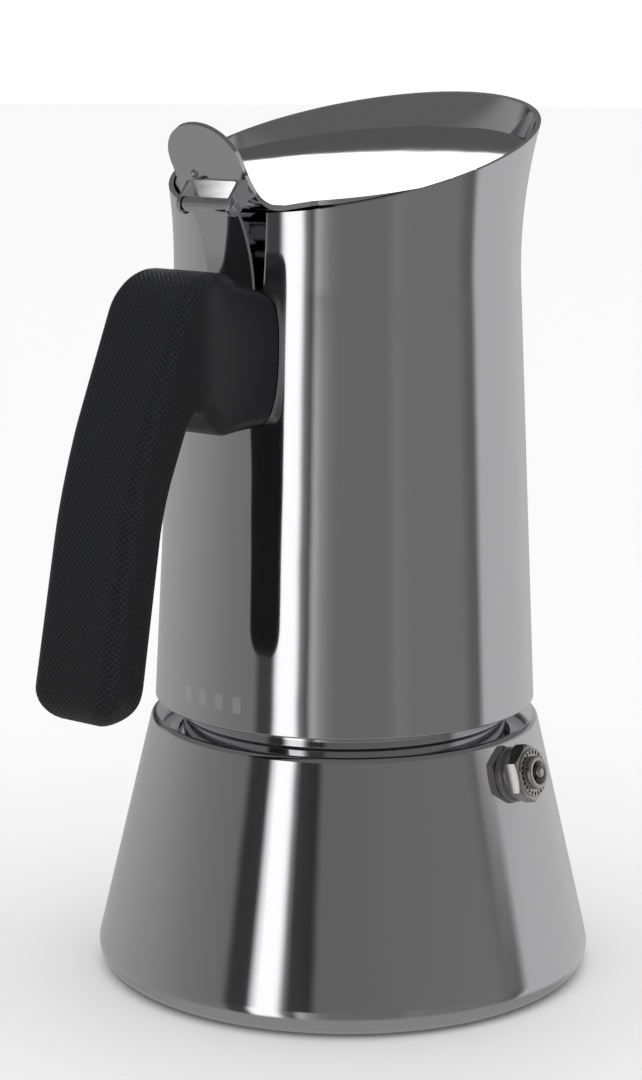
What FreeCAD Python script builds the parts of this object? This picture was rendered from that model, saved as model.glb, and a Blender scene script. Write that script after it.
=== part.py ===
import FreeCAD, Part

import math
import os

import Sketcher
from FreeCAD import Placement, Rotation, Vector

# Stove-top moka pot in polished stainless steel. Millimetres, +Z up, origin at the centre of the
# flat bottom, +X towards the pouring side. The handle stands on the -X side, the safety valve
# looks towards -Y. Where a profile belongs to the handle side it is drawn with +x outwards and
# the finished piece is turned half a turn about Z.

doc = FreeCAD.newDocument("moka_pot")
sheet = doc.addObject("Spreadsheet::Sheet", "dims")


# ---------------------------------------------------------------------------------------------
# Sizes: a number together with the sheet formula that gives it
# ---------------------------------------------------------------------------------------------
class Size:
    def __init__(self, value, text):
        self.value = float(value)
        self.text = text

    @staticmethod
    def of(other):
        return other if isinstance(other, Size) else Size(other, repr(float(other)))

    def __add__(self, other):
        other = Size.of(other)
        return Size(self.value + other.value, "(%s + %s)" % (self.text, other.text))

    def __sub__(self, other):
        other = Size.of(other)
        return Size(self.value - other.value, "(%s - %s)" % (self.text, other.text))

    def __rsub__(self, other):
        return Size.of(other) - self

    def __mul__(self, other):
        other = Size.of(other)
        return Size(self.value * other.value, "(%s * %s)" % (self.text, other.text))

    def __truediv__(self, other):
        other = Size.of(other)
        return Size(self.value / other.value, "(%s / %s)" % (self.text, other.text))

    def __neg__(self):
        return Size(-self.value, "(0 - %s)" % self.text)

    __radd__ = __add__
    __rmul__ = __mul__


def cosine(angle):
    return Size(math.cos(math.radians(angle.value)), "cos(%s * 1 deg)" % angle.text)


def sine(angle):
    return Size(math.sin(math.radians(angle.value)), "sin(%s * 1 deg)" % angle.text)


def slope_angle(rise, run):
    value = math.degrees(math.atan2(rise.value, run.value))
    return Size(value, "(atan(%s / %s) / 1 deg)" % (rise.text, run.text))


ZERO = Size(0, "0")
row = 0


def dim(name, value, meaning):
    """Write one driving dimension into the sheet and give it back as a Size."""
    global row
    row += 1
    sheet.set("A%d" % row, name)
    sheet.set("B%d" % row, str(value))
    sheet.set("C%d" % row, meaning)
    sheet.setAlias("B%d" % row, name)
    return Size(value, "dims." + name)


# Boiler
boiler_sheet = dim("boiler_sheet", 1.0, "sheet thickness of the boiler")
cone_foot = dim("cone_foot", 53.15, "radius where the cone's line meets the table")
shoulder_height = dim("shoulder_height", 53.9, "height of the shoulder")
shoulder_rounding = dim("shoulder_rounding", 1.3, "rounding of the shoulder's edge")
foot_rounding = dim("foot_rounding", 4.6, "rounding of the foot's edge")
neck_radius = dim("neck_radius", 33.9, "outer radius of the screw neck")
shoulder_width = dim("shoulder_width", 6.6, "width of the shoulder round the neck")
neck_height = dim("neck_height", 12.1, "height of the screw neck above the shoulder")
disc_radius = dim("disc_radius", 45.5, "radius of the heat-spreading disc")
disc_thickness = dim("disc_thickness", 2.5, "thickness of the heat-spreading disc")
disc_gap = dim("disc_gap", 0.2, "gap round the heat-spreading disc")
disc_edge = dim("disc_edge", 0.6, "rounding of the disc's lower edge")

# Screw thread between boiler and collector
thread_pitch = dim("thread_pitch", 3.0, "pitch of the rolled thread")
thread_depth = dim("thread_depth", 0.9, "height of a thread ridge")
thread_root = dim("thread_root", 0.7, "half the width of a ridge at its root")
thread_crest = dim("thread_crest", 0.25, "half the width of a ridge at its crest")
thread_gap = dim("thread_gap", 0.3, "radial gap between a crest and the facing wall")
thread_length = dim("thread_length", 6.6, "axial run of each thread")
thread_start = dim("thread_start", 3.6, "first ridge above the shoulder")
ridge_sink = dim("ridge_sink", 0.25, "how deep a ridge is rooted in its wall")

# Places that the pieces above and beside the boiler's neck are measured from
cone_top = neck_radius + shoulder_width
groove_height = dim("groove_height", 3.5, "open groove between shoulder and collector")
lower_rim = shoulder_height + groove_height

# Funnel
funnel_sheet = dim("funnel_sheet", 0.6, "sheet thickness of the funnel")
flange_inset = dim("flange_inset", 0.3, "funnel's flange inside the neck's outer radius")
cup_gap = dim("cup_gap", 0.6, "gap between the funnel's cup and the neck")
cup_depth = dim("cup_depth", 22.5, "depth from the flange to the sieve's ledge")
ledge_width = dim("ledge_width", 1.8, "width of the sieve's ledge")
cone_drop = dim("cone_drop", 4.5, "drop of the funnel's floor below the ledge")
stem_radius = dim("stem_radius", 5.0, "outer radius of the funnel's stem")
stem_wall = dim("stem_wall", 0.7, "wall of the funnel's stem")
stem_clearance = dim("stem_clearance", 5.5, "gap between the stem and the boiler's floor")
sieve_thickness = dim("sieve_thickness", 0.5, "thickness of the perforated plates")
sieve_gap = dim("sieve_gap", 0.2, "gap round the funnel's sieve")
hole_radius = dim("hole_radius", 0.75, "radius of a hole in a perforated plate")
hole_pitch = dim("hole_pitch", 5.0, "distance between rings of holes")

# Gasket and filter
gasket_proud = dim("gasket_proud", 0.1, "gasket outside the neck's outer radius")
gasket_width = dim("gasket_width", 7.0, "width of the gasket's ring")
gasket_thickness = dim("gasket_thickness", 3.5, "thickness of the gasket")
filter_inset = dim("filter_inset", 0.9, "filter plate inside the neck's outer radius")

# Collector
wall_sheet = dim("wall_sheet", 1.0, "sheet thickness of the collector")
collector_inset = dim("collector_inset", 0.75, "collector's lower edge inside the shoulder's")
collector_taper = dim("collector_taper", 4.16, "loss of radius from the lower edge to the flare")
collector_radius = cone_top - collector_inset
collector_neck = collector_radius - collector_taper
flare_start = dim("flare_start", 86.6, "height of the flare's beginning above the lower edge")
flare_radius = dim("flare_radius", 108.0, "radius of the flare's arc")
flare_top = dim("flare_top", 132.0, "height to which the flare is formed before it is trimmed")
rim_rise = dim("rim_rise", 112.7, "trimmed rim over the axis above the collector's lower edge")
rim_slope = dim("rim_slope", 0.285, "rise of the rim towards the pouring side")
lower_edge = dim("lower_edge", 0.45, "rounding of the collector's lower edge")
weld_gap = dim("weld_gap", 0.05, "gap at a welded seat")
ring_lift = dim("ring_lift", 0.8, "thread ring above the collector's lower edge")
floor_sheet = dim("floor_sheet", 0.8, "sheet thickness of the collector's floor")
seat_inset = dim("seat_inset", 3.9, "floor's flat seat inside the neck's outer radius")
floor_rise = dim("floor_rise", 11.0, "rise of the floor's cone")
riser_foot = dim("riser_foot", 6.4, "outer radius of the riser at its foot")
riser_top = dim("riser_top", 5.2, "outer radius of the riser at its top")
riser_height = dim("riser_height", 56.0, "length of the riser above the floor's cone")
riser_wall = dim("riser_wall", 0.8, "wall of the riser")
cap_wall = dim("cap_wall", 0.7, "wall of the riser's cap")
cap_gap = dim("cap_gap", 0.1, "gap between the riser and its cap")
cap_skirt = dim("cap_skirt", 5.0, "overlap of the cap on the riser")
cap_height = dim("cap_height", 13.0, "whole height of the cap")
cap_port = dim("cap_port", 1.9, "radius of the cap's side outlets")

# Hinge
strap_thickness = dim("strap_thickness", 0.75, "thickness of the hinge strap")
strap_width = dim("strap_width", 11.0, "width of the hinge strap")
strap_foot = dim("strap_foot", 64.6, "strap's lower end above the collector's lower edge")
strap_bend_start = dim("strap_bend_start", 85.6, "strap's bend above the collector's lower edge")
strap_bend = dim("strap_bend", 33.9, "radius of the strap's bend")
strap_angle = dim("strap_angle", 34.7, "turn of the strap's bend in degrees")
pin_radius = dim("pin_radius", 0.7, "radius of the hinge pin")
pin_clearance = dim("pin_clearance", 0.05, "running clearance of the hinge pin")
pin_head_radius = dim("pin_head_radius", 1.05, "radius of the riveted pin head")
pin_head_height = dim("pin_head_height", 0.55, "height of the riveted pin head")

# Lid
lid_sheet = dim("lid_sheet", 1.0, "sheet thickness of the lid")
lid_gap = dim("lid_gap", 0.45, "gap between the lid's edge and the mouth")
lid_rise = dim("lid_rise", 103.3, "lid's underside at the hinge above the lower edge")
lid_overlap = dim("lid_overlap", 0.41, "lid's ends outside the radius where the flare begins")
lid_slope = dim("lid_slope", 0.174, "rise of the lid towards the pouring side")
tab_base = dim("tab_base", 12.0, "half the width of the tab where it leaves the lid")
tab_half = dim("tab_half", 8.6, "half the width of the tab")
tab_bend = dim("tab_bend", 5.6, "outer radius of the tab's bend")
tab_run = dim("tab_run", 0.6, "tab's straight run between the lid's end and the bend")
tab_root = dim("tab_root", 6.0, "length of the tab's root on the lid")
tab_lean = dim("tab_lean", 30.0, "lean of the tab from upright in degrees")
tab_length = dim("tab_length", 17.0, "straight length of the tab before it is trimmed")
tab_top = dim("tab_top", 16.4, "height of the tab's top above the lid's underside")
tab_shoulder = dim("tab_shoulder", 5.6, "height where the tab reaches its width")
ear_thickness = dim("ear_thickness", 0.8, "thickness of the hinge ears")
ear_gap = dim("ear_gap", 0.2, "gap between an ear and the strap's barrel")
ear_radius = dim("ear_radius", 2.0, "radius of the round end of an ear")
ear_root = dim("ear_root", 3.0, "length of an ear's root along the tab")
ear_heel = dim("ear_heel", 1.12, "height of an ear's heel below the end of the tab's bend")
ear_set = dim("ear_set", 3.58, "ear's heel outside the start of the tab's bend")
window_set = dim("window_set", 2.0, "inner end of the window outside the start of the bend")
window_drop = dim("window_drop", 8.0, "depth of the window's cut below the lid")
tab_hem = dim("tab_hem", 1.2, "height above the lid where the tab begins to narrow")
tab_hollow = dim("tab_hollow", 6.5, "radius of the hollow where the tab narrows")
window_top = dim("window_top", 5.6, "height of the window's top above the lid's underside")
pip_radius = dim("pip_radius", 0.8, "radius of the pip beside the tab's window")
pip_height = dim("pip_height", 0.7, "height of the pip beside the tab's window")
pip_lift = dim("pip_lift", 1.2, "height of the pip above the window's top")
pip_side = dim("pip_side", 3.8, "sideways distance of the pip from the middle")



def above_rim(name, value, meaning):
    """A height that is driven by its rise above the collector's lower edge."""
    return lower_rim + dim(name + "_rise", value, meaning + ", above the lower edge")


def beyond_neck(name, value, meaning):
    """A distance from the axis that is driven by its reach beyond the flare's beginning."""
    return collector_neck + dim(name + "_reach", value, meaning + ", beyond the flare's beginning")


# Handle: corners of its side outline
grip_half = dim("grip_half", 9.8, "half the width of the grip")
boss_top = above_rim("boss_top", 89.5, "top of the boss at the wall")
boss_bottom = above_rim("boss_bottom", 60.0, "underside of the boss")
boss_reach = beyond_neck("boss_reach", 9.91, "end of the boss's underside")
bend_out = beyond_neck("bend_out", 24.21, "outer corner of the bend, outwards")
bend_up = above_rim("bend_up", 93.7, "outer corner of the bend, height")
back_out = beyond_neck("back_out", 41.26, "change of slope of the back, outwards")
back_up = above_rim("back_up", 55.7, "change of slope of the back, height")
end_out = beyond_neck("end_out", 50.61, "outer corner of the lower end, outwards")
end_up = above_rim("end_up", 11.0, "outer corner of the lower end, height")
tip_out = beyond_neck("tip_out", 39.21, "inner corner of the lower end, outwards")
tip_up = above_rim("tip_up", 8.6, "inner corner of the lower end, height")
palm_out = beyond_neck("palm_out", 31.71, "change of slope of the finger side, outwards")
palm_up = above_rim("palm_up", 49.6, "change of slope of the finger side, height")
arch_out = beyond_neck("arch_out", 22.71, "corner of the finger arch, outwards")
arch_up = above_rim("arch_up", 70.6, "corner of the finger arch, height")
boss_round = dim("boss_round", 7.0, "rounding at the end of the boss's underside")
arch_round = dim("arch_round", 7.0, "rounding of the finger arch")
palm_round = dim("palm_round", 45.0, "rounding where the finger side changes slope")
tip_round = dim("tip_round", 5.4, "rounding of the lower end's corners")
back_round = dim("back_round", 110.0, "rounding where the back changes slope")
bend_round = dim("bend_round", 12.0, "rounding of the bend's outer corner")
grip_edge = dim("grip_edge", 3.2, "rounding of the grip's long edges")
grip_gap = dim("grip_gap", 0.3, "gap between the boss and the wall")
stud_half = dim("stud_half", 4.0, "half the width of the handle's stud")
stud_low = above_rim("stud_low", 70.6, "underside of the stud")
stud_high = above_rim("stud_high", 79.6, "top of the stud")
stud_reach = beyond_neck("stud", 20.41, "end of the stud")
stud_gap = dim("stud_gap", 0.15, "gap between the stud and the grip")
screw_out = beyond_neck("screw", 9.41, "axis of the handle screw")
screw_radius = dim("screw_radius", 2.0, "radius of the handle screw")
screw_head = dim("screw_head", 3.5, "radius of the handle screw's head")
screw_head_height = dim("screw_head_height", 2.4, "height of the handle screw's head")
screw_sink = dim("screw_sink", 1.2, "depth of the screw's head below the boss")
screw_gap = dim("screw_gap", 0.15, "gap round the handle screw")
screw_bite = dim("screw_bite", 6.0, "length of the screw's thread in the stud")
screw_end = dim("screw_end", 0.3, "gap at the end of the screw")
slot_gap = dim("slot_gap", 0.3, "gap round the strap in the boss")
slot_lean = dim("slot_lean", 0.5, "widening of the strap's slot to the top")
grip_root = dim("grip_root", 4.0, "depth of the boss's blank inside the wall")
strap_gap = dim("strap_gap", 0.1, "gap between the strap and the wall")

# Safety valve, along its own axis from the cone's outer face
flange_gap = dim("flange_gap", 0.02, "gap between the weld boss's flange and the shoulder")
valve_turn = dim("valve_turn", 2.0, "turn of the valve from -Y towards +X in degrees")
valve_flats = dim("valve_flats", 10.4, "width of the valve's hexagon across its flats")
valve_hexagon = dim("valve_hexagon", 3.0, "length of the valve's hexagon")
valve_chamfer = dim("valve_chamfer", 0.5, "chamfer on the corners of the hexagon")
valve_shank = dim("valve_shank", 4.0, "radius of the valve's shank")
shank_gap = dim("shank_gap", 0.05, "gap round the valve's shank")
boss_wall = dim("boss_wall", 1.6, "wall of the weld boss")
boss_flange = dim("boss_flange", 7.0, "radius of the weld boss's flange")
boss_depth = dim("boss_depth", 5.0, "depth of the weld boss behind the wall")
boss_set = dim("boss_set", 1.9, "distance of the boss's flange behind the wall")
boss_proud = dim("boss_proud", 0.4, "height of the boss in front of the wall")
washer_radius = dim("washer_radius", 5.1, "radius of the valve's washer")
washer_thickness = dim("washer_thickness", 0.8, "thickness of the valve's washer")
collar_radius = dim("collar_radius", 4.8, "radius of the valve's collar")
collar_length = dim("collar_length", 0.5, "length of the valve's collar")
nozzle_radius = dim("nozzle_radius", 3.4, "radius of the valve's nozzle")
nozzle_length = dim("nozzle_length", 1.3, "length of the valve's nozzle")
valve_bore = dim("valve_bore", 2.9, "radius of the spring chamber")
pin_stem = dim("pin_stem", 1.15, "radius of the relief pin")
pin_play = dim("pin_play", 0.08, "running clearance of the relief pin")
pin_head = dim("pin_head", 2.5, "radius of the relief pin's head")
pin_seal = dim("pin_seal", 1.0, "thickness of the relief pin's head")
pin_proud = dim("pin_proud", 0.6, "length of the relief pin in front of the nozzle")
pin_seat = dim("pin_seat", 0.05, "gap under the relief pin's head")
gland_thickness = dim("gland_thickness", 1.5, "thickness of the gland")
gland_proud = dim("gland_proud", 0.4, "gland's outer face behind the weld boss")
chamber_end = dim("chamber_end", 0.6, "wall between the spring chamber and the collar")
turned_overlap = dim("turned_overlap", 0.2, "overlap of the valve body's turned parts")
gland_hole = dim("gland_hole", 1.2, "radius of the gland's inlet")
spring_radius = dim("spring_radius", 2.05, "mean radius of the valve's spring")
spring_wire = dim("spring_wire", 0.35, "radius of the spring's wire")
spring_pitch = dim("spring_pitch", 1.25, "pitch of the valve's spring")

doc.recompute()


# ---------------------------------------------------------------------------------------------
# Drawing helpers
# ---------------------------------------------------------------------------------------------
def new_body(name):
    body = doc.addObject("PartDesign::Body", name)
    body.Label = name
    return body


def new_sketch(body, role, offset=None):
    """A sketch on one of the body's own origin planes, moved along its normal by offset."""
    sketch = body.newObject("Sketcher::SketchObject", body.Label + "_sketch")
    plane = [item for item in body.Origin.OriginFeatures if item.Role == role][0]
    sketch.AttachmentSupport = [(plane, "")]
    sketch.MapMode = "FlatFace"
    if offset is not None:
        sketch.setExpression("AttachmentOffset.Base.z", offset.text)
    return sketch


def bind(sketch, kind, where, size):
    index = sketch.addConstraint(Sketcher.Constraint(kind, *where, size.value))
    sketch.setExpression("Constraints[%d]" % index, size.text)


def pin_point(sketch, edge, end, x, y):
    """Hold one point of an edge at (x, y)."""
    for kind, axis, size in (("DistanceX", -2, x), ("DistanceY", -1, y)):
        if size is ZERO:
            sketch.addConstraint(Sketcher.Constraint("PointOnObject", edge, end, axis))
        else:
            bind(sketch, kind, (edge, end), size)


def arc_between(start, end, radius):
    """The short arc from start to end; a positive radius has its centre on the left."""
    chord = end - start
    half = chord.Length / 2
    depth = math.sqrt(radius * radius - half * half)
    left = Vector(-chord.y, chord.x, 0).normalize()
    side = 1 if radius > 0 else -1
    centre = start + chord * 0.5 + left * depth * side
    middle = centre + ((start + chord * 0.5) - centre).normalize() * abs(radius)
    return Part.Arc(start, middle, end)


def draw(sketch, outline):
    """Draw a closed outline. A corner is (x, y), or (x, y, radius) where the edge that leaves it
    is an arc, or (x, y, radius, "tangent") where that arc also leaves the last edge smoothly,
    which then sets the x of the arc's far end."""
    corners = [Vector(corner[0].value, corner[1].value, 0) for corner in outline]
    count = len(outline)
    flipped = []
    for index, corner in enumerate(outline):
        start, end = corners[index], corners[(index + 1) % count]
        if len(corner) > 2:
            arc = arc_between(start, end, corner[2].value)
            sketch.addGeometry(arc)
            flipped.append(corner[2].value < 0)
            bind(sketch, "Radius", (index,), Size(abs(corner[2].value), corner[2].text)
                 if corner[2].value > 0 else -corner[2])
        else:
            sketch.addGeometry(Part.LineSegment(start, end))
            flipped.append(False)
    for index in range(count):
        after = (index + 1) % count
        tail = 1 if flipped[index] else 2
        head = 2 if flipped[after] else 1
        smooth = len(outline[after]) > 3
        kind = "Tangent" if smooth else "Coincident"
        sketch.addConstraint(Sketcher.Constraint(kind, index, tail, after, head))
    for index, corner in enumerate(outline):
        head = 2 if flipped[index] else 1
        if len(outline[index - 1]) > 3:
            bind(sketch, "DistanceY", (index, head), corner[1])
        else:
            pin_point(sketch, index, head, corner[0], corner[1])


def circle(sketch, x, y, radius):
    index = sketch.addGeometry(Part.Circle(Vector(x.value, y.value, 0), Vector(0, 0, 1), radius.value))
    pin_point(sketch, index, 3, x, y)
    bind(sketch, "Radius", (index,), radius)


def revolve(body, outline, kind="Revolution"):
    sketch = new_sketch(body, "XZ_Plane")
    draw(sketch, outline)
    feature = body.newObject("PartDesign::" + kind, body.Label + "_" + kind.lower())
    feature.Profile = sketch
    feature.ReferenceAxis = (sketch, ["V_Axis"])
    feature.Angle = 360
    return settle(body, feature, kind == "Groove")


def settle(body, feature, removes):
    """Recompute and make sure the step added or removed material as it should."""
    before = 0.0 if feature.BaseFeature is None else feature.BaseFeature.Shape.Volume
    doc.recompute()
    body.Tip = feature
    change = feature.Shape.Volume - before
    if (change >= 0) if removes else (change <= 0):
        raise RuntimeError("%s: %s changes the volume by %.3f" % (body.Label, feature.Name, change))
    return feature


def pad(body, outline, width, role="XZ_Plane"):
    """Pad an outline, half of the width on each side of its plane."""
    sketch = new_sketch(body, role)
    draw(sketch, outline)
    feature = body.newObject("PartDesign::Pad", body.Label + "_pad")
    feature.Profile = sketch
    feature.SideType = "Symmetric"
    feature.setExpression("Length", width.text)
    return settle(body, feature, False)


def pocket(body, outline, width, role="XZ_Plane"):
    """Cut an outline, half of the width on each side of its plane."""
    sketch = new_sketch(body, role)
    draw(sketch, outline)
    return cut_sketch(body, sketch, width)


def cut_sketch(body, sketch, width):
    feature = body.newObject("PartDesign::Pocket", body.Label + "_pocket")
    feature.Profile = sketch
    feature.Type = "Length"
    feature.Midplane = True
    feature.setExpression("Length", width.text)
    return settle(body, feature, True)


def drill(body, x, y, radius, width, role="XZ_Plane"):
    """Drill a round hole, half of its depth on each side of the plane."""
    sketch = new_sketch(body, role)
    circle(sketch, x, y, radius)
    return cut_sketch(body, sketch, width)


def blend(body, names, radius):
    """Round the named edges of the body's tip."""
    base = body.Tip
    feature = body.newObject("PartDesign::Fillet", body.Label + "_fillet")
    feature.Base = (base, names)
    feature.setExpression("Radius", radius.text)
    doc.recompute()
    if feature.Shape.isNull():
        raise RuntimeError("%s: an edge can't be rounded by %.2f" % (body.Label, radius.value))
    return feature


def ring_edge(body, radius, height):
    """Names of the tip's circular edges about Z with this radius and height."""
    found = []
    for index, edge in enumerate(body.Tip.Shape.Edges):
        box = edge.BoundBox
        flat = box.ZLength < 1e-4 and abs(box.ZMin - height.value) < 1e-3
        if flat and abs(box.XMax - radius.value) < 2e-3 and abs(box.YMax - radius.value) < 2e-3:
            found.append("Edge%d" % (index + 1))
    if not found:
        raise RuntimeError("%s: no edge at r %.2f z %.2f" % (body.Label, radius.value, height.value))
    return found


def cross_edge(body, x, z):
    """Names of the tip's straight edges along Y through (x, z)."""
    found = []
    for index, edge in enumerate(body.Tip.Shape.Edges):
        box = edge.BoundBox
        slim = box.XLength < 1e-4 and box.ZLength < 1e-4
        if slim and abs(box.XMin - x.value) < 1e-3 and abs(box.ZMin - z.value) < 1e-3:
            found.append("Edge%d" % (index + 1))
    if not found:
        raise RuntimeError("%s: no edge at x %.2f z %.2f" % (body.Label, x.value, z.value))
    return found


def helix(body, outline, length, role="XZ_Plane"):
    """Sweep an outline about Z along a right-hand helix of the thread's pitch."""
    sketch = new_sketch(body, role)
    draw(sketch, outline)
    feature = body.newObject("PartDesign::AdditiveHelix", body.Label + "_helix")
    feature.Profile = sketch
    feature.ReferenceAxis = (sketch, ["V_Axis"])
    feature.Mode = 0
    feature.setExpression("Pitch", thread_pitch.text)
    feature.setExpression("Height", length.text)
    return settle(body, feature, False)


def turn_to_handle(body):
    """Turn a piece that was drawn with +x outwards onto the handle's side."""
    body.Placement = Placement(Vector(0, 0, 0), Rotation(Vector(0, 0, 1), 180))


def stand_on_cone(body):
    """Place a piece drawn along its own Z with the axis square to the cone, at the valve."""
    turn = "rotation(vector(0; 0; 1); (%s) * 1 deg)" % valve_turn.text
    lean = "rotation(vector(1; 0; 0); (%s) * 1 deg)" % (90 - cone_tilt).text
    seat = "vector(0; %s; %s)" % ((-valve_out).text, valve_height.text)
    body.setExpression("Placement", "placement(vector(0; 0; 0); %s) * placement(%s; %s)"
                       % (turn, seat, lean))


def perforate(body, height, radius):
    """Rings of holes through a plate whose face is at this height, out to this radius."""
    rings = int((radius.value - 2 * hole_radius.value) // hole_pitch.value)
    for ring in range(1, rings + 1):
        sketch = new_sketch(body, "XY_Plane", height)
        circle(sketch, hole_pitch * ring, ZERO, hole_radius)
        cut = cut_sketch(body, sketch, sieve_thickness * 4)
        pattern = body.newObject("PartDesign::PolarPattern", body.Label + "_ring")
        pattern.Originals = [cut]
        pattern.Axis = (sketch, ["N_Axis"])
        pattern.Angle = 360
        pattern.Occurrences = 6 * ring
        doc.recompute()
        body.Tip = pattern


# ---------------------------------------------------------------------------------------------
# Places that several pieces share
# ---------------------------------------------------------------------------------------------
cone_slope = (cone_foot - cone_top) / shoulder_height
cone_tilt = slope_angle(cone_foot - cone_top, shoulder_height)
wall_run = boiler_sheet / cosine(cone_tilt)
flange_drop = boss_flange * cosine(cone_tilt) - boss_set * sine(cone_tilt)
valve_height = shoulder_height - boiler_sheet - flange_drop - flange_gap
valve_out = cone_foot - cone_slope * valve_height
boiler_floor = disc_thickness + boiler_sheet
neck_top = shoulder_height + neck_height
neck_bore = neck_radius - boiler_sheet
flange_radius = neck_radius - flange_inset
gasket_outer = neck_radius + gasket_proud
gasket_inner = gasket_outer - gasket_width
filter_radius = neck_radius - filter_inset
floor_seat = neck_radius - seat_inset
ring_bore = neck_radius + thread_depth + thread_gap
flange_top = neck_top + funnel_sheet
gasket_top = flange_top + gasket_thickness
filter_top = gasket_top + sieve_thickness
floor_top = filter_top + floor_sheet
rim_height = lower_rim + rim_rise
wall_taper = (collector_radius - collector_neck) / flare_start
flare_height = lower_rim + flare_start
cup_radius = neck_bore - cup_gap
ledge_height = neck_top - cup_depth
riser_base = floor_top + floor_rise


def wall_radius(height, inset):
    """Radius of the collector's tapered wall at a height, inset from its outer face."""
    return collector_radius - wall_taper * (height - lower_rim) - inset


def vessel(inset, low, high):
    """Outline of the collector's tapered and flared form, inset from its outer face."""
    reach = high - flare_height
    rough = math.sqrt(flare_radius.value ** 2 - reach.value ** 2)
    bulge = flare_radius.value - rough - wall_taper.value * reach.value
    tip = Size(collector_neck.value - inset.value + bulge, "0")
    return [(ZERO, low), (wall_radius(low, inset), low),
            (wall_radius(flare_height, inset), flare_height, -(flare_radius + inset), "tangent"),
            (tip, high), (ZERO, high)]


# ---------------------------------------------------------------------------------------------
# Boiler: spun cone with its screw neck, and the heat-spreading disc under it
# ---------------------------------------------------------------------------------------------
def spin_boiler_shell():
    body = new_body("boiler_shell_spun")
    recess = disc_radius + disc_gap
    inner_top = cone_top - wall_run + cone_slope * boiler_sheet
    inner_foot = cone_foot - wall_run - cone_slope * boiler_sheet
    under = shoulder_height - boiler_sheet
    revolve(body, [
        (ZERO, disc_thickness), (recess, disc_thickness), (recess, ZERO), (cone_foot, ZERO),
        (cone_top, shoulder_height), (neck_radius, shoulder_height), (neck_radius, neck_top),
        (neck_bore, neck_top), (neck_bore, under), (inner_top, under), (inner_foot, boiler_sheet),
        (recess + boiler_sheet, boiler_sheet), (recess + boiler_sheet, boiler_floor),
        (ZERO, boiler_floor)])
    blend(body, ring_edge(body, cone_foot, ZERO), foot_rounding)
    blend(body, ring_edge(body, inner_foot, boiler_sheet), foot_rounding - boiler_sheet)
    blend(body, ring_edge(body, cone_top, shoulder_height), shoulder_rounding)
    first = shoulder_height + thread_start
    root = neck_radius - ridge_sink
    crest = neck_radius + thread_depth
    helix(body, [
        (root, first - thread_root), (crest, first - thread_crest),
        (crest, first + thread_crest), (root, first + thread_root)], thread_length)
    return body


def make_boiler_shell():
    """The spun boiler, bored square to the cone for the valve's weld boss."""
    shell = spin_boiler_shell()
    tool = new_body("valve_hole")
    radius = valve_shank + shank_gap + boss_wall + shank_gap
    revolve(tool, [(ZERO, -boss_depth), (radius, -boss_depth), (radius, boss_depth),
                   (ZERO, boss_depth)])
    stand_on_cone(tool)
    bored = doc.addObject("Part::Cut", "boiler_shell")
    bored.Base = shell
    bored.Tool = tool
    bored.Label = "boiler_shell"
    return bored


def make_base_disc():
    body = new_body("base_disc")
    revolve(body, [(ZERO, ZERO), (disc_radius, ZERO), (disc_radius, disc_thickness),
                   (ZERO, disc_thickness)])
    blend(body, ring_edge(body, disc_radius, ZERO), disc_edge)
    return body


# ---------------------------------------------------------------------------------------------
# Safety valve: weld boss, washer, hexagon body, gland, relief pin and spring
# ---------------------------------------------------------------------------------------------
seat_face = boss_proud + washer_thickness
hexagon_end = seat_face + valve_hexagon
collar_end = hexagon_end + collar_length
nozzle_end = collar_end + nozzle_length
gland_outer = -(boss_depth + gland_proud)
gland_inner = gland_outer + gland_thickness
spring_stop = hexagon_end - chamber_end
boss_bore = valve_shank + shank_gap


def make_valve_boss():
    body = new_body("valve_boss")
    sleeve = boss_bore + boss_wall
    revolve(body, [(boss_bore, -boss_depth), (boss_flange, -boss_depth), (boss_flange, -boss_set),
                   (sleeve, -boss_set), (sleeve, boss_proud), (boss_bore, boss_proud)])
    stand_on_cone(body)
    return body


def make_valve_washer():
    body = new_body("valve_washer")
    revolve(body, [(boss_bore, boss_proud), (washer_radius, boss_proud), (washer_radius, seat_face),
                   (boss_bore, seat_face)])
    stand_on_cone(body)
    return body


def make_valve_body():
    body = new_body("valve_body")
    corner = valve_flats / (2 * math.cos(math.pi / 6))
    sketch = new_sketch(body, "XY_Plane", seat_face)
    points = []
    for index in range(6):
        angle = Size(60 * index + 30, repr(60.0 * index + 30))
        points.append((corner * cosine(angle), corner * sine(angle)))
    draw(sketch, points)
    block = body.newObject("PartDesign::Pad", "valve_body_hexagon")
    block.Profile = sketch
    block.setExpression("Length", valve_hexagon.text)
    settle(body, block, False)
    outside = corner + valve_chamfer
    revolve(body, [(corner - valve_chamfer, hexagon_end), (outside, hexagon_end - valve_chamfer),
                   (outside, hexagon_end)], "Groove")
    revolve(body, [(ZERO, gland_outer), (valve_shank, gland_outer),
                   (valve_shank, seat_face + turned_overlap), (ZERO, seat_face + turned_overlap)])
    revolve(body, [(ZERO, hexagon_end - turned_overlap),
                   (collar_radius, hexagon_end - turned_overlap),
                   (collar_radius, collar_end), (nozzle_radius, collar_end),
                   (nozzle_radius, nozzle_end), (ZERO, nozzle_end)])
    bore = pin_stem + pin_play
    revolve(body, [(ZERO, gland_outer - 1), (valve_bore, gland_outer - 1), (valve_bore, spring_stop),
                   (bore, spring_stop), (bore, nozzle_end + 1), (ZERO, nozzle_end + 1)], "Groove")
    blend(body, ring_edge(body, nozzle_radius, nozzle_end), valve_chamfer)
    stand_on_cone(body)
    return body


def make_valve_gland():
    body = new_body("valve_gland")
    revolve(body, [(gland_hole, gland_outer), (valve_bore, gland_outer), (valve_bore, gland_inner),
                   (gland_hole, gland_inner)])
    stand_on_cone(body)
    return body


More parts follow.
